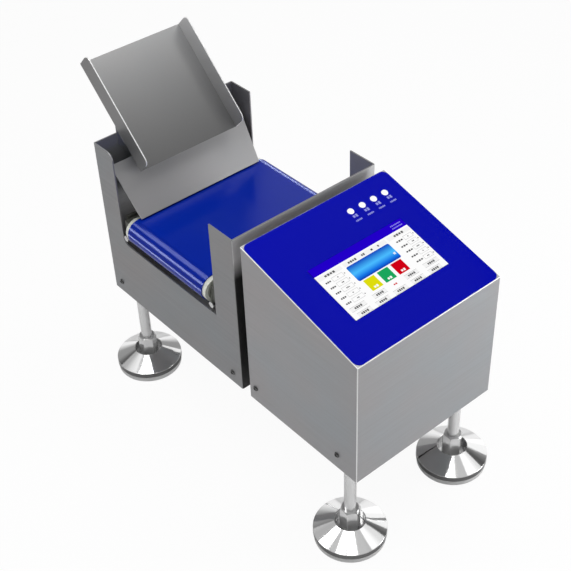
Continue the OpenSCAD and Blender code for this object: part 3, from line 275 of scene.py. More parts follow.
def speckled(tree, bsdf, color, grain, variation):
    """Gives a shader a finely speckled colour, and returns the speckle."""
    speckle = noise(tree, (grain, grain, grain), detail=2.0)
    dim = tuple(c * (1 - variation) for c in color[:3]) + (1.0,)
    tone = blend_colors(tree, spread(tree, speckle, 0.0, 1.0), dim, color)
    tree.links.new(tone, bsdf.inputs["Base Color"])
    return speckle


def plain_metal(name, level, roughness, grain=900, variation=0.12):
    """Milled or plated metal with a fine grain."""
    material, tree, bsdf = new_shader(name, grey(level), roughness, Metallic=1.0)
    speckle = speckled(tree, bsdf, grey(level), grain, variation)
    rough = spread(tree, speckle, roughness - GRAIN_SMOOTHER, roughness + GRAIN_ROUGHER)
    tree.links.new(rough, bsdf.inputs["Roughness"])
    return material


def moulded(name, color, roughness, grain=1400, bump=0.08, variation=0.15, **sockets):
    """Plastic, rubber, paint or a finely blasted surface."""
    material, tree, bsdf = new_shader(name, color, roughness, **sockets)
    speckle = speckled(tree, bsdf, color, grain, variation)
    add_bump(tree, bsdf, speckle, bump, GRAIN_DEPTH)
    return material


def belt_sheet(name, color, cloud_color):
    """Smooth polyurethane belt with a faintly cloudy tone."""
    material, tree, bsdf = new_shader(name, color, BELT_ROUGHNESS, Specular_IOR_Level=BELT_SPECULAR)
    cloud = noise(tree, BELT_CLOUD_SCALE, detail=2.0)
    tone = blend_colors(tree, spread(tree, cloud, 0.0, 0.5), color, cloud_color)
    rough = spread(tree, cloud, BELT_ROUGHNESS - BELT_SWING, BELT_ROUGHNESS + BELT_SWING)
    tree.links.new(tone, bsdf.inputs["Base Color"])
    tree.links.new(rough, bsdf.inputs["Roughness"])
    return material


def lit_shader(name):
    """A glowing material on black, with its glow's colour still to be set."""
    return new_shader(name, grey(0), LIT_ROUGHNESS, Emission_Strength=1.0, Specular_IOR_Level=0.0)


def lit(name, color):
    """A lit spot of the screen or a lamp, in the colour that it shows."""
    material, _, bsdf = lit_shader(name)
    bsdf.inputs["Emission Color"].default_value = color
    return material


def lit_gradient(name, stops):
    """A lit spot whose colour runs down the panel, given as places from 0 to 1 with their colours."""
    material, tree, bsdf = lit_shader(name)
    place = add_node(tree, "ShaderNodeTexCoord")
    split = add_node(tree, "ShaderNodeSeparateXYZ")
    ramp = add_node(tree, "ShaderNodeValToRGB")
    tree.links.new(place.outputs["Generated"], split.inputs["Vector"])
    tree.links.new(split.outputs["X"], ramp.inputs["Fac"])
    tree.links.new(ramp.outputs["Color"], bsdf.inputs["Emission Color"])
    set_stops(ramp.color_ramp, stops)
    return material


def set_stops(color_ramp, stops):
    """Gives a colour ramp its stops, each a place from 0 to 1 and a colour."""
    elements = color_ramp.elements
    while len(elements) < len(stops):
        elements.new(0.5)
    for element, (place, color) in zip(elements, stops):
        element.position = place
        element.color = color


SHEET = sheet_metal("brushed_sheet", 162, 0.38, 0.5, streak=10, tint=5)
CONVEYOR_SHEET = sheet_metal("conveyor_sheet", 142, 0.4, 0.3, streak=10)
# Painted light and shade: a lighter copy of the conveyor's sheet for its wall beside the control box,
# painted dark low in the gap
LIT_AND_SHADED_OUTER_SHEET = sheet_metal("outer_sheet_painted_light_and_shade", 214, 0.45, 0.2)
paint_shade_below(LIT_AND_SHADED_OUTER_SHEET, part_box("control_housing")[1].z - GAP_SHADE_FROM, GAP_SHADE_FADE, GAP_SHADE_LEVEL)
TRAY_SHEET = sheet_metal("tray_sheet", 168, 0.3, 0.8, tint=1, brushed=False)
# Painted shade: a darker copy of the tray's sheet for the front of its flange
SHADED_FLANGE_SHEET = sheet_metal("flange_sheet_painted_shade", 148, 0.48, 0.75, tint=1, brushed=False)
# Painted light: a lighter copy of the tray's sheet for the rear flange's inner side
LIT_INNER_FLANGE = sheet_metal("inner_flange_painted_light", 206, 0.4, 0.6, tint=1, brushed=False)
TRAY_LOW, TRAY_HIGH = (corner.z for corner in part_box("chute_tray"))
# Painted shade: the tray's sheet and its rear flange's inner side are painted darker towards the tray's
# lower end
paint_shade_below(TRAY_SHEET, TRAY_HIGH, TRAY_HIGH - TRAY_LOW, TRAY_SHADE_LEVEL)
paint_shade_below(LIT_INNER_FLANGE, TRAY_HIGH, TRAY_HIGH - TRAY_LOW, INNER_FLANGE_SHADE_LEVEL)
GUIDE_SHEET = sheet_metal("guide_sheet", 196, 0.34, 0.7, tint=1, brushed=False)
BASE_SHEET = sheet_metal("base_sheet", 150, 0.5, 0.5)
# Painted highlight: near-white edges that stand in for the shine along folds and cut edges
HIGHLIGHT_EDGE = moulded("painted_highlight_edge", grey(246), 0.35, variation=0.04, Metallic=0.2)
PAD_STEEL = turned_metal("turned_pad", 236, 0.06, chatter=0.1 * MM)
# Painted shade: the pad's band is a dark copy of the turned metal, standing in for the dark it mirrors
SHADED_PAD_BAND = turned_metal("pad_band_painted_shade", 112, 0.2)
PAD_RECESS = turned_metal("pad_recess", 214, 0.24)
PAD_BASE = moulded("pad_base", grey(206), 0.45, variation=0.05)
STEM_STEEL = turned_metal("ground_stem", 230, 0.16, rings=25, metallic=0.7)
SCREW_STEEL = plain_metal("screw_steel", 215, 0.18)
HOUSING_SCREW = plain_metal("housing_screw", 100, 0.16)
ROLLER_STEEL = moulded("roller_metal", srgb(238, 240, 230), 0.28, variation=0.04, Metallic=0.4)
BEARING_STEEL = plain_metal("bearing_steel", 196, 0.25)
ALLOY = plain_metal("milled_alloy", 190, 0.36, grain=500)
DARK_ALLOY = plain_metal("dark_alloy", 52, 0.42, grain=700)
ANODISED = moulded("anodised_plate", srgb(74, 75, 70), 0.45)
MOTOR_PAINT = moulded("motor_enamel", grey(34), 0.4)
SUPPLY_CASE = plain_metal("galvanised_case", 172, 0.4, grain=120, variation=0.3)
BELT = belt_sheet("belt_blue", srgb(3, 32, 143), srgb(5, 35, 134))
TIMING_RUBBER = moulded("timing_rubber", grey(24), 0.6)
PANEL_BLUE = moulded("panel_film", srgb(4, 11, 170), 0.14, grain=2600, bump=0.01, variation=0.04,
                     Specular_IOR_Level=0.01)
BLACK_PLASTIC = moulded("black_plastic", grey(30), 0.48)
BOARD_GREEN = moulded("circuit_board", srgb(18, 92, 48), 0.42, grain=260, variation=0.35)
GLASS_EDGE = moulded("glass_edge", srgb(16, 8, 120), 0.2, variation=0.05)
SCREEN_WHITE = lit("screen_white", grey(253))
SCREEN_HEADER = lit("screen_header", srgb(34, 0, 200))
SCREEN_BAND = lit("screen_band", grey(243))
SCREEN_LINE = lit("screen_line", grey(190))
SCREEN_MARK = lit("screen_mark", grey(88))
SCREEN_PALE = lit("screen_pale", srgb(142, 136, 226))
SCREEN_YELLOW = lit("screen_yellow", srgb(222, 220, 14))
SCREEN_GREEN = lit("screen_green", srgb(26, 165, 92))
SCREEN_RED = lit("screen_red", srgb(208, 0, 20))
SCREEN_READOUT = lit_gradient("screen_readout", [
    (0.0, srgb(8, 62, 190)), (0.5, srgb(74, 188, 255)), (0.8, srgb(24, 120, 232)), (1.0, srgb(6, 52, 176)),
])
LAMP_WHITE = lit("lamp_white", grey(255))
CAPTION = moulded("caption_print", srgb(150, 156, 222), 0.5, variation=0.05, Specular_IOR_Level=0.1)


# Mesh pieces

def add_piece(name, bm, materials, body, slot, replaced=()):
    """Turns a finished mesh into a piece that rides on a body, and stands for any CAD nodes named."""
    bmesh.ops.recalc_face_normals(bm, faces=bm.faces)
    mesh = bpy.data.meshes.new(name)
    bm.to_mesh(mesh)
    bm.free()
    for material in materials:
        mesh.materials.append(material)
    mesh.shade_smooth()
    mesh.set_sharp_from_angle(angle=SMOOTH_ANGLE)
    piece = bpy.data.objects.new(name, mesh)
    scene.collection.objects.link(piece)
    weighted = piece.modifiers.new("face_normals", "WEIGHTED_NORMAL")
    weighted.keep_sharp = True
    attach(piece, body)
    if replaced:
        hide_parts(*replaced)
    return piece


def body_of(node):
    """The body that a CAD node rides on."""
    return nodes[node]["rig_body"]


def slot_of(node):
    """The material slot that the record gives a node."""
    return next(s["material_slot"] for s in frame["record"]["subparts"] if s["node"] == node)


def cad_mesh(node):
    """An editable copy of a CAD node with its flat faces joined up."""
    bm = bmesh.new()
    bm.from_mesh(nodes[node].data)
    for face in bm.faces:
        face.material_index = 0
    bmesh.ops.remove_doubles(bm, verts=bm.verts, dist=WELD)
    bmesh.ops.dissolve_limit(bm, angle_limit=FLAT_ANGLE, verts=bm.verts, edges=bm.edges)
    return bm


def sharp_edges(bm):
    """The edges between two faces that meet at a clear angle."""
    return [e for e in bm.edges if len(e.link_faces) == 2 and e.calc_face_angle() > SHARP_ANGLE]


def round_edges(bm, edges, radius, segments=2, material=AS_BESIDE):
    """Rounds edges; the new faces take a material number, or that of the faces beside them."""
    bmesh.ops.bevel(bm, geom=edges, offset=radius, offset_type="OFFSET", segments=segments, profile=0.5,
                    affect="EDGES", clamp_overlap=True, material=material)


def rounded_copy(node, materials, edge=SMALL_EDGE, folds=(), second=None):
    """Stands for a CAD node with its edges rounded.

    Each fold is (test of an edge, radius, material number), and faces that pass the second test take the
    second material.
    """
    bm = cad_mesh(node)
    if second:
        for face in bm.faces:
            face.material_index = int(second(face))
    for is_fold, radius, material in folds:
        round_edges(bm, [e for e in sharp_edges(bm) if is_fold(e)], radius, FOLD_SEGMENTS, material)
    round_edges(bm, sharp_edges(bm), edge)
    return add_piece("looks_" + node, bm, materials, body_of(node), slot_of(node), [node])


# Folded housings

def at_corner(vert, low, high):
    """True for a point on an upright corner line of a box."""
    at_x = min(abs(vert.co.x - low.x), abs(vert.co.x - high.x)) < NEAR
    at_y = min(abs(vert.co.y - low.y), abs(vert.co.y - high.y)) < NEAR
    return at_x and at_y


def upright_fold(node):
    """The upright corners of a housing."""
    low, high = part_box(node)

    def test(edge):
        a, b = edge.verts
        return at_corner(a, low, high) and at_corner(b, low, high) and abs(a.co.z - b.co.z) > LONG_EDGE
    return test


def panel_fold(node):
    """The four edges of the sloped panel."""
    low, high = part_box(node)

    def test(edge):
        raised = all(v.co.z > low.z + PANEL_OVER_BOTTOM for v in edge.verts)
        return raised and all(at_corner(v, low, high) for v in edge.verts)
    return test


def front_right_fold(node):
    """The upright corner between the front and the right face."""
    low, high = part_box(node)
    upright = upright_fold(node)

    def test(edge):
        middle = (edge.verts[0].co + edge.verts[1].co) / 2
        return upright(edge) and middle.x > (low.x + high.x) / 2 and middle.y < 0
    return test


CONVEYOR_WALL_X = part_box("conveyor_housing")[1].x


def beside_control(face):
    """The conveyor's outer wall that looks at the control box; it takes a lighter copy of the sheet,
    painted light.
    """
    return face.normal.x > FACING and face.calc_center_median().x > CONVEYOR_WALL_X - MM / 2


def is_rim(face):
    """The cut edge of a tray flange: a narrow face that looks along the flange."""
    across = [v.co.y for v in face.verts]
    return abs(face.normal.y) < RIM_TILT and max(across) - min(across) < RIM_WIDTH


# Material numbers of the tray's rims (painted highlight), of its front (darker copy, painted shade) and of
# its rear flange's inner side (lighter copy, painted light)
HIGHLIGHT_RIM, SHADED_FRONT_SIDE, LIT_REAR_INNER_SIDE = 1, 2, 3


def build_tray():
    """Tray with folded corners, a painted highlight on the cut edges of its flanges, and painted shade and
    light on its flanges' faces.
    """
    bm = cad_mesh("chute_tray")
    low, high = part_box("chute_tray")

    def is_outer_fold(edge):
        ends = [v.co for v in edge.verts]
        at_side = max(abs(p.y) for p in ends) > high.y - NEAR
        is_long = (ends[1] - ends[0]).length > LONG_EDGE
        return at_side and is_long and not any(is_rim(f) for f in edge.link_faces)

    for face in bm.faces:
        across = face.calc_center_median().y
        if face.normal.y < -FACING and across < low.y + MM:
            face.material_index = SHADED_FRONT_SIDE
        if face.normal.y < -FACING and across > 0:
            face.material_index = LIT_REAR_INNER_SIDE
    rims = [f for f in bm.faces if is_rim(f)]
    for face in rims:
        face.material_index = HIGHLIGHT_RIM
    rim_edges = [e for e in bm.edges if {is_rim(f) for f in e.link_faces} == {True, False}]
    folds = [e for e in sharp_edges(bm) if is_outer_fold(e)]
    round_edges(bm, folds, TRAY_FOLD_RADIUS, FOLD_SEGMENTS)
    rim_edges = [e for e in rim_edges if e.is_valid and len(e.link_faces) == 2]
    round_edges(bm, rim_edges, TRAY_RIM_RADIUS, RIM_SEGMENTS, HIGHLIGHT_RIM)
    return add_piece("looks_chute_tray", bm, [TRAY_SHEET, HIGHLIGHT_EDGE, SHADED_FLANGE_SHEET, LIT_INNER_FLANGE],
                     body_of("chute_tray"), "stainless", ["chute_tray"])


# Material number of the control box's folds with a painted highlight
HIGHLIGHT_FOLD = 1

rounded_copy("conveyor_housing", [CONVEYOR_SHEET, LIT_AND_SHADED_OUTER_SHEET], SHEET_EDGE, [
    (upright_fold("conveyor_housing"), FOLD_RADIUS, AS_BESIDE),
], beside_control)
rounded_copy("control_housing", [SHEET, HIGHLIGHT_EDGE], SHEET_EDGE, [
    (panel_fold("control_housing"), PANEL_FOLD_RADIUS, HIGHLIGHT_FOLD),
    (front_right_fold("control_housing"), PANEL_FOLD_RADIUS, HIGHLIGHT_FOLD),
    (upright_fold("control_housing"), FOLD_RADIUS, AS_BESIDE),
])
build_tray()

# Pieces that keep their CAD shape, with broken edges
PLAIN_LOOKS = {
    TRAY_SHEET: ["guide_brackets", "drive_cover"],
    CONVEYOR_SHEET: ["chute_support"],
    GUIDE_SHEET: ["guide_plate"],
    BASE_SHEET: ["conveyor_base", "control_base"],
    SHEET: ["slider_bed", "foot_sockets"],
    SCREW_STEEL: ["joining_bolts", "load_cell_bolts", "frame_screws", "side_plate_screws",
                  "tension_screws", "wall_screws"],
    BEARING_STEEL: ["roller_bearings", "motor_shaft"],
    ALLOY: ["load_cell", "load_cell_blocks", "weigh_frame", "cross_rods"],
    DARK_ALLOY: ["motor_driver"],
    ANODISED: ["side_plate_left", "side_plate_right", "bearing_blocks"],
    MOTOR_PAINT: ["drive_motor"],
    SUPPLY_CASE: ["power_supply"],
    BLACK_PLASTIC: ["display_module", "joining_spacers", "cable_conduit", "power_inlet", "switch_frame",
                    "power_rocker"],
    BOARD_GREEN: ["lamp_board", "controller_board"],
    PANEL_BLUE: ["panel_overlay"],
    ROLLER_STEEL: ["drive_roller", "idler_roller"],
    STEM_STEEL: [n for n in nodes if n.startswith(("foot_stem", "foot_nut"))],
    HOUSING_SCREW: ["housing_screws"],
}
for material, names in PLAIN_LOOKS.items():
    for name in names:
        rounded_copy(name, [material])

# Pieces whose CAD mesh is kept as it is
KEPT_LOOKS = {
    ALLOY: ["motor_pulley", "roller_pulley"],
    TIMING_RUBBER: ["timing_belt"],
    BLACK_PLASTIC: ["signal_cable"],
    GLASS_EDGE: ["display_glass"],
    LAMP_WHITE: ["indicator_lamps"],
}
for material, names in KEPT_LOOKS.items():
    for name in names:
        nodes[name].data.materials.clear()
        nodes[name].data.materials.append(material)


# Weigh belt

BELT_T = 1.2 * MM
BELT_ARC_STEPS = 48
BELT_SIDE_EDGE = 0.3 * MM


def build_belt():
    """Endless band round the two rollers, finely divided where it bends."""
    low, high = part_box("weigh_belt")
    outer = (high.z - low.z) / 2
    middle_z = (high.z + low.z) / 2
    reach = high.y - outer

    def ring(bm, x, radius):
        made = []
        for end in (1, -1):
            for k in range(BELT_ARC_STEPS + 1):
                turn = math.radians(90 - 180 * k / BELT_ARC_STEPS)
                made.append(bm.verts.new((
                    x, end * (reach + radius * math.cos(turn)), middle_z + end * radius * math.sin(turn))))
        return made

    bm = bmesh.new()
    rows = [ring(bm, low.x, outer), ring(bm, high.x, outer),
            ring(bm, high.x, outer - BELT_T), ring(bm, low.x, outer - BELT_T)]
    for first, second in zip(rows, rows[1:] + rows[:1]):
        for i in range(len(first)):
            k = (i + 1) % len(first)
            bm.faces.new((first[i], first[k], second[k], second[i]))
    sides = [e for e in sharp_edges(bm) if abs(e.verts[0].co.x - e.verts[1].co.x) < WELD]
    round_edges(bm, sides, BELT_SIDE_EDGE)
    return add_piece("looks_weigh_belt", bm, [BELT], body_of("weigh_belt"), "belt_blue", ["weigh_belt"])


belt_piece = build_belt()


# Foot pads, turned: a light base, a band painted dark as shade, and a bright cone with a recess, in
# millimetres

PAD_SEGMENTS = 160
PAD_BASE_INSET = 1.0
PAD_BASE_CHAMFER = 1.5
PAD_BASE_TOP = 8.0
PAD_BAND_LOW = 9.0
PAD_RIM_TOP = 17.0
PAD_RECESS_R = 20.5
PAD_RECESS_Z = 16.1
PAD_LIP = 0.6
PAD_STEP = 0.2
PAD_TOP_DROP = 1.4 * PAD_LIP
LIP_START = 8
LIP_STEPS, SOCKET_STEPS = 4, 8
BALL_Z, BALL_SOCKET_R = 14.0, 7.08
CONE, BAND, BASE, RECESS = 0, 1, 2, 3


def arc(center_r, center_z, radius, start, end, steps):
    """Points of an arc in a lathe profile, with its angles in degrees from outward."""
    angles = [math.radians(start + (end - start) * k / steps) for k in range(steps + 1)]
    return [(center_r + radius * math.cos(a), center_z + radius * math.sin(a)) for a in angles]


def pad_profile(rim, height):
    """Profile from the middle of the underside to the ball socket; each stretch is (material, points)."""
    base_r = rim - PAD_BASE_INSET
    slope = math.degrees(math.atan2(height - PAD_RIM_TOP, rim - PAD_RECESS_R))
    socket_start = math.degrees(math.asin((PAD_RECESS_Z - BALL_Z) / BALL_SOCKET_R))
    return [
        (BASE, [(0, 0)]),
        (BASE, arc(base_r - PAD_BASE_CHAMFER, PAD_BASE_CHAMFER, PAD_BASE_CHAMFER, -90, 0, LIP_STEPS)),
        (BASE, [(base_r, PAD_BASE_TOP)]),
        (BAND, [(base_r, PAD_BASE_TOP + PAD_STEP), (rim, PAD_BAND_LOW), (rim, PAD_RIM_TOP - PAD_LIP)]),
        (CONE, arc(rim - PAD_LIP, PAD_RIM_TOP - PAD_LIP, PAD_LIP, LIP_START, 90 - slope, LIP_STEPS)),
        (CONE, arc(PAD_RECESS_R + PAD_LIP, height - PAD_TOP_DROP, PAD_LIP, 90 - slope, 180, LIP_STEPS)),
        (RECESS, [(PAD_RECESS_R, PAD_RECESS_Z + PAD_LIP), (PAD_RECESS_R - PAD_LIP, PAD_RECESS_Z)]),
        (RECESS, arc(0, BALL_Z, BALL_SOCKET_R, socket_start, -90, SOCKET_STEPS)),
    ]


def lathe(bm, stretches, center):
    """Turns a profile round an upright axis. The faces that lead to a point take that point's material."""
    last = None
    for material, points in stretches:
        for radius, height in points:
            r, z = radius * MM, height * MM
            spin = [math.tau * k / PAD_SEGMENTS for k in range(PAD_SEGMENTS if radius > WELD else 1)]
            ring = [bm.verts.new((center.x + r * math.cos(a), center.y + r * math.sin(a), z)) for a in spin]
            if last:
                for k in range(PAD_SEGMENTS):
                    n = (k + 1) % PAD_SEGMENTS
                    corners = [row[i % len(row)] for row, i in ((last, k), (last, n), (ring, n), (ring, k))]
                    face = bm.faces.new(list(dict.fromkeys(corners)))
                    face.material_index = material
            last = ring


def build_pad(node):
    """A turned foot pad in place of its CAD node, with the node's width and height."""
    low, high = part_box(node)
    bm = bmesh.new()
    lathe(bm, pad_profile((high.x - low.x) / 2 / MM, high.z / MM), (low + high) / 2)
    materials = [PAD_STEEL, SHADED_PAD_BAND, PAD_BASE, PAD_RECESS]
    return add_piece("looks_" + node, bm, materials, body_of(node), slot_of(node), [node])


feet_pieces = [build_pad(n) for n in nodes if n.startswith("foot_pad")]


# Touch screen on the sloped panel: u runs down the slope and y sideways, both in millimetres

def panel_matrix():
    """Panel frame: X down the slope from the high edge, Y sideways, Z out of the panel."""
    faces = nodes["panel_overlay"].data.polygons
    normal = max(faces, key=lambda f: f.area if f.normal.z > FACING_UP else 0).normal.copy()
    low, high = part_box("control_housing")
    down = Vector((normal.z, 0, -normal.x))
    made = Matrix((down, (0, 1, 0), normal)).transposed().to_4x4()
    made.translation = (low.x, 0, high.z)
    return made


PANEL = panel_matrix()
# Heights over the housing's slope, and the thickness of a print, in millimetres
GLASS_TOP = 0.9
FILM_TOP = 0.6
INK = 0.05
CORNER_STEPS = 6
# Width of a block as a share of its pitch, and height of every other block
BLOCK_SHARE = 0.74
LOW_BLOCK = 0.8


def slab(bm, u, y, bottom, radius=0.0):
    """A thin plate on the panel, between two places down the slope and two across, with round corners."""
    steps = CORNER_STEPS if radius else 0
    outline = []
    for quarter, (at_u, at_y) in enumerate(((u[1], y[1]), (u[0], y[1]), (u[0], y[0]), (u[1], y[0]))):
        inner_u = at_u - radius if at_u == u[1] else at_u + radius
        inner_y = at_y - radius if at_y == y[1] else at_y + radius
        for k in range(steps + 1):
            turn = math.radians(90 * (quarter + k / max(steps, 1)))
            outline.append((inner_u + radius * math.cos(turn), inner_y + radius * math.sin(turn)))
    low, high = ([bm.verts.new(PANEL @ Vector((a * MM, b * MM, level * MM))) for a, b in outline]
                 for level in (bottom, bottom + INK))
    bm.faces.new(high)
    bm.faces.new(reversed(low))
    for i in range(len(outline)):
        k = (i + 1) % len(outline)
        bm.faces.new((low[i], low[k], high[k], high[i]))


def print_piece(name, material, plates, bottom, slot):
    """One piece made of plates: each is (u0, u1, y0, y1) or (u0, u1, y0, y1, radius)."""
    bm = bmesh.new()
    for u0, u1, y0, y1, *radius in plates:
        slab(bm, (u0, u1), (y0, y1), bottom, *radius)
    return add_piece(name, bm, [material], "machine", slot)


def screen_piece(name, material, plates, level=0):
    """A piece of the screen's picture; a higher level lies over the ones below."""
    return print_piece(name, material, plates, GLASS_TOP + level * INK, "screen_glass")


def around(center, size):
    """The two ends of a stretch, from its middle and its size."""
    return center - size / 2, center + size / 2


def blocks(u, height, y, count):
    """A row of small blocks that stands for a caption; every other one is a little lower."""
    pitch = (y[1] - y[0]) / count
    made = []
    for k in range(count):
        tall = height * (1.0 if k % 2 else LOW_BLOCK)
        made.append((*around(u, tall), *around(y[0] + (k + 0.5) * pitch, BLOCK_SHARE * pitch)))
    return made


SCREEN_Y = (-76.3, 78.3)
HEADER_U = (74.2, 86.8)
BODY_U = (86.8, 161.8)
CLOCK_Y = (57.0, 74.5)
CLOCK_ROWS_U = (78.4, 82.6)
CLOCK_H, CLOCK_BLOCKS = 1.8, 7
ROW_FIRST, ROW_STEP, ROWS = 101.3, 9.17, 5
FIELD_H = 6.4
LINE = 0.45
LABEL_H, UNIT_H, VALUE_H = 2.6, 1.8, 1.8
LABEL_BLOCKS = 3
VALUE_W, VALUE_W_STEP, VALUE_KINDS = 2.2, 1.6, 3
COLUMNS = [
    {"label": (-70.7, -62.0), "field": (-59.8, -42.3), "unit": (-41.0, -39.2)},
    {"label": (46.0, 57.5), "field": (59.3, 73.5), "unit": (74.3, 76.3)},
]
SECTION_U = (89.3, 95.3)
SECTIONS = [(-75.8, -37.6), (-34.0, 36.8), (40.0, 77.6)]
# Marks on the section bands: their reach across, and their number of blocks
SECTION_MARKS = [
    ((-65.0, -48.0), 4), ((-27.0, -13.0), 4), ((-5.0, 1.0), 2),
    ((10.5, 14.5), 1), ((22.0, 25.0), 1), ((50.0, 66.5), 4),
]
SECTION_MARK_H = 3.2
READOUT_R = 2.4
READOUT = (96.2, 121.2, *SECTIONS[1], READOUT_R)
READOUT_MARK_U, READOUT_MARK_Y, READOUT_MARK_H = 112.3, (31.0, 34.4), 3.4
READOUT_MARK_BLOCKS = 2
BUTTON_U = (122.8, 141.0)
BUTTON_R = 0.6
BUTTON_MARK_U, BUTTON_MARK_W, BUTTON_MARK_H = 137.4, 7.5, 3.4
BUTTON_BLOCKS = 2
BUTTONS = {
    "screen_yellow_key": (SCREEN_YELLOW, (-29.8, -12.4)),
    "screen_green_key": (SCREEN_GREEN, (-7.3, 10.2)),
    "screen_red_key": (SCREEN_RED, (15.2, 32.7)),
}
KEY_ROWS = [
    (148.0, [(-72.0, -48.2), (-35.7, -14.8), (17.3, 38.5), (49.3, 73.5)]),
    (158.0, [(-69.0, -47.8), (-39.8, -18.2), (-10.3, 11.0), (18.8, 40.2), (48.2, 69.0)]),
]
KEY_H = 6.4
KEY_MARK_H, KEY_MARK_W, KEY_BLOCKS = 3.2, 12.0, 4
NOTE_U, NOTE_Y, NOTE_H, NOTE_BLOCKS = 148.0, (-2.3, 3.5), 2.4, 2


def frame_lines(u, y):
    """Four thin lines round a field."""
    return [(u[0], u[0] + LINE, *y), (u[1] - LINE, u[1], *y),
            (u[0], u[1], y[0], y[0] + LINE), (u[0], u[1], y[1] - LINE, y[1])]


def build_screen():
    """The screen's picture: plain boxes, bars and keys, with small blocks in place of words."""
    bands, lines, marks = [], [], []
    screen_piece("screen_header", SCREEN_HEADER, [(*HEADER_U, *SCREEN_Y)])
    screen_piece("screen_body", SCREEN_WHITE, [(*BODY_U, *SCREEN_Y)])
    clock = [p for u in CLOCK_ROWS_U for p in blocks(u, CLOCK_H, CLOCK_Y, CLOCK_BLOCKS)]
    screen_piece("screen_clock", SCREEN_PALE, clock, 1)
    bands += [(*SECTION_U, *y) for y in SECTIONS]
    for y, count in SECTION_MARKS:
        marks += blocks(sum(SECTION_U) / 2, SECTION_MARK_H, y, count)
    for row in range(ROWS):
        u = ROW_FIRST + row * ROW_STEP
        kind = row % VALUE_KINDS
        for column in COLUMNS:
            value_y = around(sum(column["field"]) / 2, VALUE_W + VALUE_W_STEP * kind)
            lines += frame_lines(around(u, FIELD_H), column["field"])
            marks += blocks(u, LABEL_H, column["label"], LABEL_BLOCKS)
            marks += blocks(u, UNIT_H, column["unit"], 1)
            marks += blocks(u, VALUE_H, value_y, 1 + kind)
    for u, keys in KEY_ROWS:
        for y in keys:
            bands.append((*around(u, KEY_H), *y))
            lines += frame_lines(around(u, KEY_H), y)[:2]
            marks += blocks(u, KEY_MARK_H, around(sum(y) / 2, KEY_MARK_W), KEY_BLOCKS)
    screen_piece("screen_bands", SCREEN_BAND, bands, 1)
    screen_piece("screen_lines", SCREEN_LINE, lines, 2)
    screen_piece("screen_marks", SCREEN_MARK, marks, 2)
    screen_piece("screen_readout", SCREEN_READOUT, [READOUT], 1)
    mark = blocks(READOUT_MARK_U, READOUT_MARK_H, READOUT_MARK_Y, READOUT_MARK_BLOCKS)
    screen_piece("screen_readout_mark", SCREEN_WHITE, mark, 2)
    for name, (material, y) in BUTTONS.items():
        screen_piece(name, material, [(*BUTTON_U, *y, BUTTON_R)], 1)
        mark = blocks(BUTTON_MARK_U, BUTTON_MARK_H, around(sum(y) / 2, BUTTON_MARK_W), BUTTON_BLOCKS)
        screen_piece(name + "_mark", SCREEN_WHITE, mark, 2)
    screen_piece("screen_note", SCREEN_RED, blocks(NOTE_U, NOTE_H, NOTE_Y, NOTE_BLOCKS), 1)


INDICATORS = 4
INDICATOR_R = 4.5 * MM
# Caption bars under each lamp: distance from the lamp, size down and across, and number of blocks
CAPTION_ROWS = [(9.0, 4.6, 8.2, 2), (16.4, 2.6, 10.6, 5)]


def build_captions():
    """Rows of small blocks under the indicator lamps."""
    low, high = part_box("indicator_lamps")
    first, last = low.y + INDICATOR_R, high.y - INDICATOR_R
    lamp_u = (PANEL.inverted() @ ((low + high) / 2)).x / MM
    plates = []
    for k in range(INDICATORS):
        y = (first + (last - first) * k / (INDICATORS - 1)) / MM
        for away, height, width, count in CAPTION_ROWS:
            plates += blocks(lamp_u + away, height, around(y, width), count)
    print_piece("lamp_captions", CAPTION, plates, FILM_TOP, "panel_blue")


build_screen()
build_captions()


# Camera, floor and light

def add_camera():
    """The photograph's camera, as it was fitted, with its small roll."""
    back = Vector((
        math.sin(CAMERA_AZIMUTH) * math.cos(CAMERA_ELEVATION),
        -math.cos(CAMERA_AZIMUTH) * math.cos(CAMERA_ELEVATION),
        math.sin(CAMERA_ELEVATION),
    ))
    level = Vector((0, 0, 1)).cross(back).normalized()
    upright = back.cross(level)
    right = math.cos(CAMERA_ROLL) * level + math.sin(CAMERA_ROLL) * upright
    up = math.cos(CAMERA_ROLL) * upright - math.sin(CAMERA_ROLL) * level
    data = bpy.data.cameras.new("camera")
    data.sensor_width = SENSOR_WIDTH
    data.lens = CAMERA_FOCAL_PIXELS / FRAME_PIXELS * SENSOR_WIDTH
    camera = bpy.data.objects.new("camera", data)
    place = Matrix((right, up, back)).transposed().to_4x4()
    place.translation = (CAMERA_X, CAMERA_Y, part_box("control_housing")[1].z + CAMERA_OVER_HOUSING)
    camera.matrix_world = place
    scene.collection.objects.link(camera)
    scene.camera = camera


def scaled(tree, socket, share):
    """A socket's value times a constant share."""
    made = add_node(tree, "ShaderNodeMath", operation="MULTIPLY")
    tree.links.new(socket, made.inputs[0])
    made.inputs[1].default_value = share
    return made.outputs["Value"]


def larger(tree, first, second):
    """The larger value of two sockets."""
    made = add_node(tree, "ShaderNodeMath", operation="MAXIMUM")
    tree.links.new(first, made.inputs[0])
    tree.links.new(second, made.inputs[1])
    return made.outputs["Value"]


FLOOR_SIZE = 30.0
FLOOR_PAINT = 0.96
FLOOR_GLOW_SEEN = 0.94
FLOOR_GLOW_MIRRORED = 0.04


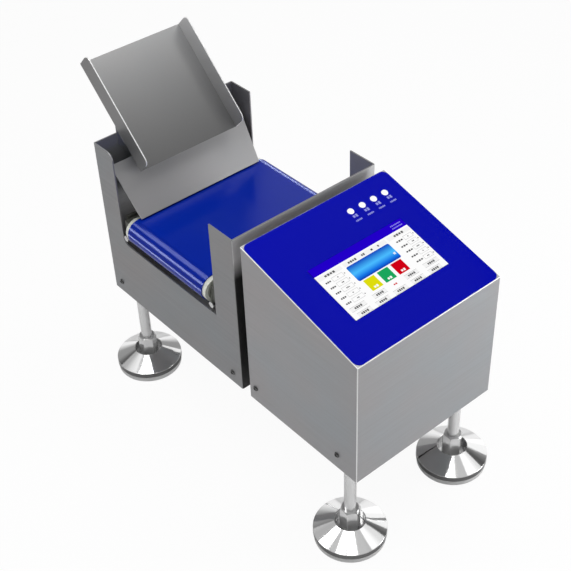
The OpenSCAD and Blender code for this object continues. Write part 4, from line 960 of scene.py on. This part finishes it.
def add_floor():
    """White floor that keeps a faint shadow, and shows its shadows more in mirroring metal."""
    bm = bmesh.new()
    bmesh.ops.create_grid(bm, x_segments=1, y_segments=1, size=FLOOR_SIZE / 2)
    mesh = bpy.data.meshes.new("floor")
    bm.to_mesh(mesh)
    bm.free()
    floor = bpy.data.objects.new("floor", mesh)
    scene.collection.objects.link(floor)
    material = bpy.data.materials.new("studio_floor")
    material.use_nodes = True
    tree = material.node_tree
    tree.nodes.clear()
    paint = add_node(tree, "ShaderNodeBsdfDiffuse", Color=(FLOOR_PAINT, FLOOR_PAINT, FLOOR_PAINT, 1.0))
    glow = add_node(tree, "ShaderNodeEmission", Color=(1.0, 1.0, 1.0, 1.0), Strength=1.0)
    path = add_node(tree, "ShaderNodeLightPath")
    seen = scaled(tree, path.outputs["Is Camera Ray"], FLOOR_GLOW_SEEN)
    mirrored = larger(tree, path.outputs["Is Glossy Ray"], path.outputs["Is Transmission Ray"])
    mix = add_node(tree, "ShaderNodeMixShader")
    out = add_node(tree, "ShaderNodeOutputMaterial")
    tree.links.new(larger(tree, seen, scaled(tree, mirrored, FLOOR_GLOW_MIRRORED)), mix.inputs["Fac"])
    tree.links.new(paint.outputs["BSDF"], mix.inputs[1])
    tree.links.new(glow.outputs["Emission"], mix.inputs[2])
    tree.links.new(mix.outputs["Shader"], out.inputs["Surface"])
    mesh.materials.append(material)
    floor.location.z = cad_box[0].z


# How bright the surround is, by the height of the direction from 0 at the horizon to 1 overhead
WORLD_LEVELS = [(0.08, 1.0), (0.25, 0.32), (0.45, 0.3), (0.6, 0.06), (0.72, 0.06), (0.8, 0.36), (0.9, 0.6)]
WORLD_WHITE_MIRRORED = 0.04


def add_world():
    """Studio surround: white at the horizon and where it is seen, dim above, brighter overhead."""
    world = bpy.data.worlds.new("studio")
    scene.world = world
    world.use_nodes = True
    tree = world.node_tree
    background = tree.nodes["Background"]
    place = add_node(tree, "ShaderNodeTexCoord")
    split = add_node(tree, "ShaderNodeSeparateXYZ")
    ramp = add_node(tree, "ShaderNodeValToRGB")
    tree.links.new(place.outputs["Generated"], split.inputs["Vector"])
    tree.links.new(split.outputs["Z"], ramp.inputs["Fac"])
    path = add_node(tree, "ShaderNodeLightPath")
    mirrored = larger(tree, path.outputs["Is Glossy Ray"], path.outputs["Is Transmission Ray"])
    white = larger(tree, path.outputs["Is Camera Ray"], scaled(tree, mirrored, WORLD_WHITE_MIRRORED))
    tone = blend_colors(tree, white, ramp.outputs["Color"], (1.0, 1.0, 1.0, 1.0))
    tree.links.new(tone, background.inputs["Color"])
    set_stops(ramp.color_ramp, [(height, (level, level, level, 1.0)) for height, level in WORLD_LEVELS])


def add_light(name, place, target, size, radiance, along=None, only=None, color=(1.0, 1.0, 1.0)):
    """A soft rectangle of light, given by how bright it looks.

    Its long side may lie along an axis, and it may light only the pieces of one collection.
    """
    data = bpy.data.lights.new(name, "AREA")
    data.shape = "RECTANGLE"
    data.size, data.size_y = size
    data.energy = radiance * math.pi * size[0] * size[1]
    data.color = color
    lamp = bpy.data.objects.new(name, data)
    back = Vector(place) - Vector(target)
    if along:
        side = Vector(along).normalized()
        back -= back.dot(side) * side
    else:
        side = Vector((0, 0, 1)).cross(back).normalized()
    back.normalize()
    turn = Matrix((side, back.cross(side), back)).transposed().to_4x4()
    turn.translation = place
    lamp.matrix_world = turn
    lamp.visible_camera = False
    if only:
        lamp.light_linking.receiver_collection = only
        lamp.light_linking.blocker_collection = only
        lamp.visible_diffuse = False
    scene.collection.objects.link(lamp)


def lamp_group(name, pieces):
    """The pieces that some of the lamps are kept to."""
    group = bpy.data.collections.new(name)
    for piece in pieces:
        group.objects.link(piece)
    return group


MIDDLE = (0.0, 0.0, 0.3)
BELT_NOSE = (-0.08, -0.11, 0.29)
BELT_TAIL = (-0.08, 0.11, 0.29)
NEAR_FOOT = (0.25, -0.1, 0.03)
X_AXIS = (1, 0, 0)
Y_AXIS = (0, 1, 0)
OVERHEAD_AXIS = (0.63, -0.776, 0)
STRIP_BLUE = (0.62, 0.7, 1.0)

# Lamps of the studio, and two small ones inside the conveyor: name, place, target, size, how bright they
# look, and the axis of the long side where that matters
STUDIO_LAMPS = [
    ("overhead_left", (0.05, -0.52, 2.2), (0.05, -0.52, 0), (1.2, 0.55), 2.4, OVERHEAD_AXIS),
    ("overhead_right", (0.55, -0.12, 2.2), (0.55, -0.12, 0), (1.2, 0.55), 2.4, OVERHEAD_AXIS),
    ("rear_light", (-0.05, 0.95, 2.2), MIDDLE, (1.0, 1.0), 3.4),
    ("side_light", (1.0, 0.75, 0.42), MIDDLE, (0.5, 0.5), 6.5),
    ("front_light", (-0.2, -0.5, 0.85), (0, -0.1, 0.3), (0.3, 0.3), 4.6),
    ("inner_front", (-0.084, -0.085, 0.238), (-0.084, -0.085, 0.15), (0.16, 0.02), 3.0, X_AXIS),
    ("inner_left", (-0.209, -0.05, 0.285), (-0.232, -0.05, 0.275), (0.12, 0.03), 0.6, Y_AXIS),
]
# Strips that only the belt mirrors
BELT_STRIPS = [
    ("belt_strip_high", (-0.89, -0.29, 1.16), BELT_NOSE, (0.6, 0.5), 11.0),
    ("belt_strip_middle", (-0.89, -0.95, 0.6), BELT_NOSE, (0.6, 0.26), 24.0),
    ("belt_strip_low", (-0.454, -0.448, 0.055), BELT_NOSE, (0.4, 0.06), 17.0),
    ("belt_rear_low", (-0.8, 1.05, 0.58), BELT_TAIL, (0.8, 0.08), 20.0),
    ("belt_rear_high", (-0.8, 1.0, 0.78), BELT_TAIL, (0.8, 0.08), 20.0),
]
BELT_HAZE = ("belt_haze", (-0.66, 0.78, 0.98), BELT_NOSE, (0.5, 0.4), 1.0)
# Panels that only the foot pads mirror
FEET_PANELS = [
    ("feet_left", (-1.1, -0.7, 1.5), NEAR_FOOT, (1.0, 1.0), 0.4),
    ("feet_right", (0.85, 1.0, 1.55), NEAR_FOOT, (0.8, 0.8), 0.8),
    ("feet_rear", (-0.2, 1.75, 0.67), NEAR_FOOT, (1.2, 0.9), 0.75),
]

add_camera()
add_floor()
add_world()
belt_only = lamp_group("belt_gloss", [belt_piece])
feet_only = lamp_group("feet_gloss", feet_pieces)
for lamp in STUDIO_LAMPS:
    add_light(*lamp)
for lamp in BELT_STRIPS:
    add_light(*lamp, along=X_AXIS, only=belt_only, color=STRIP_BLUE)
add_light(*BELT_HAZE, only=belt_only)
for lamp in FEET_PANELS:
    add_light(*lamp, only=feet_only)
scene.view_settings.view_transform = "Standard"
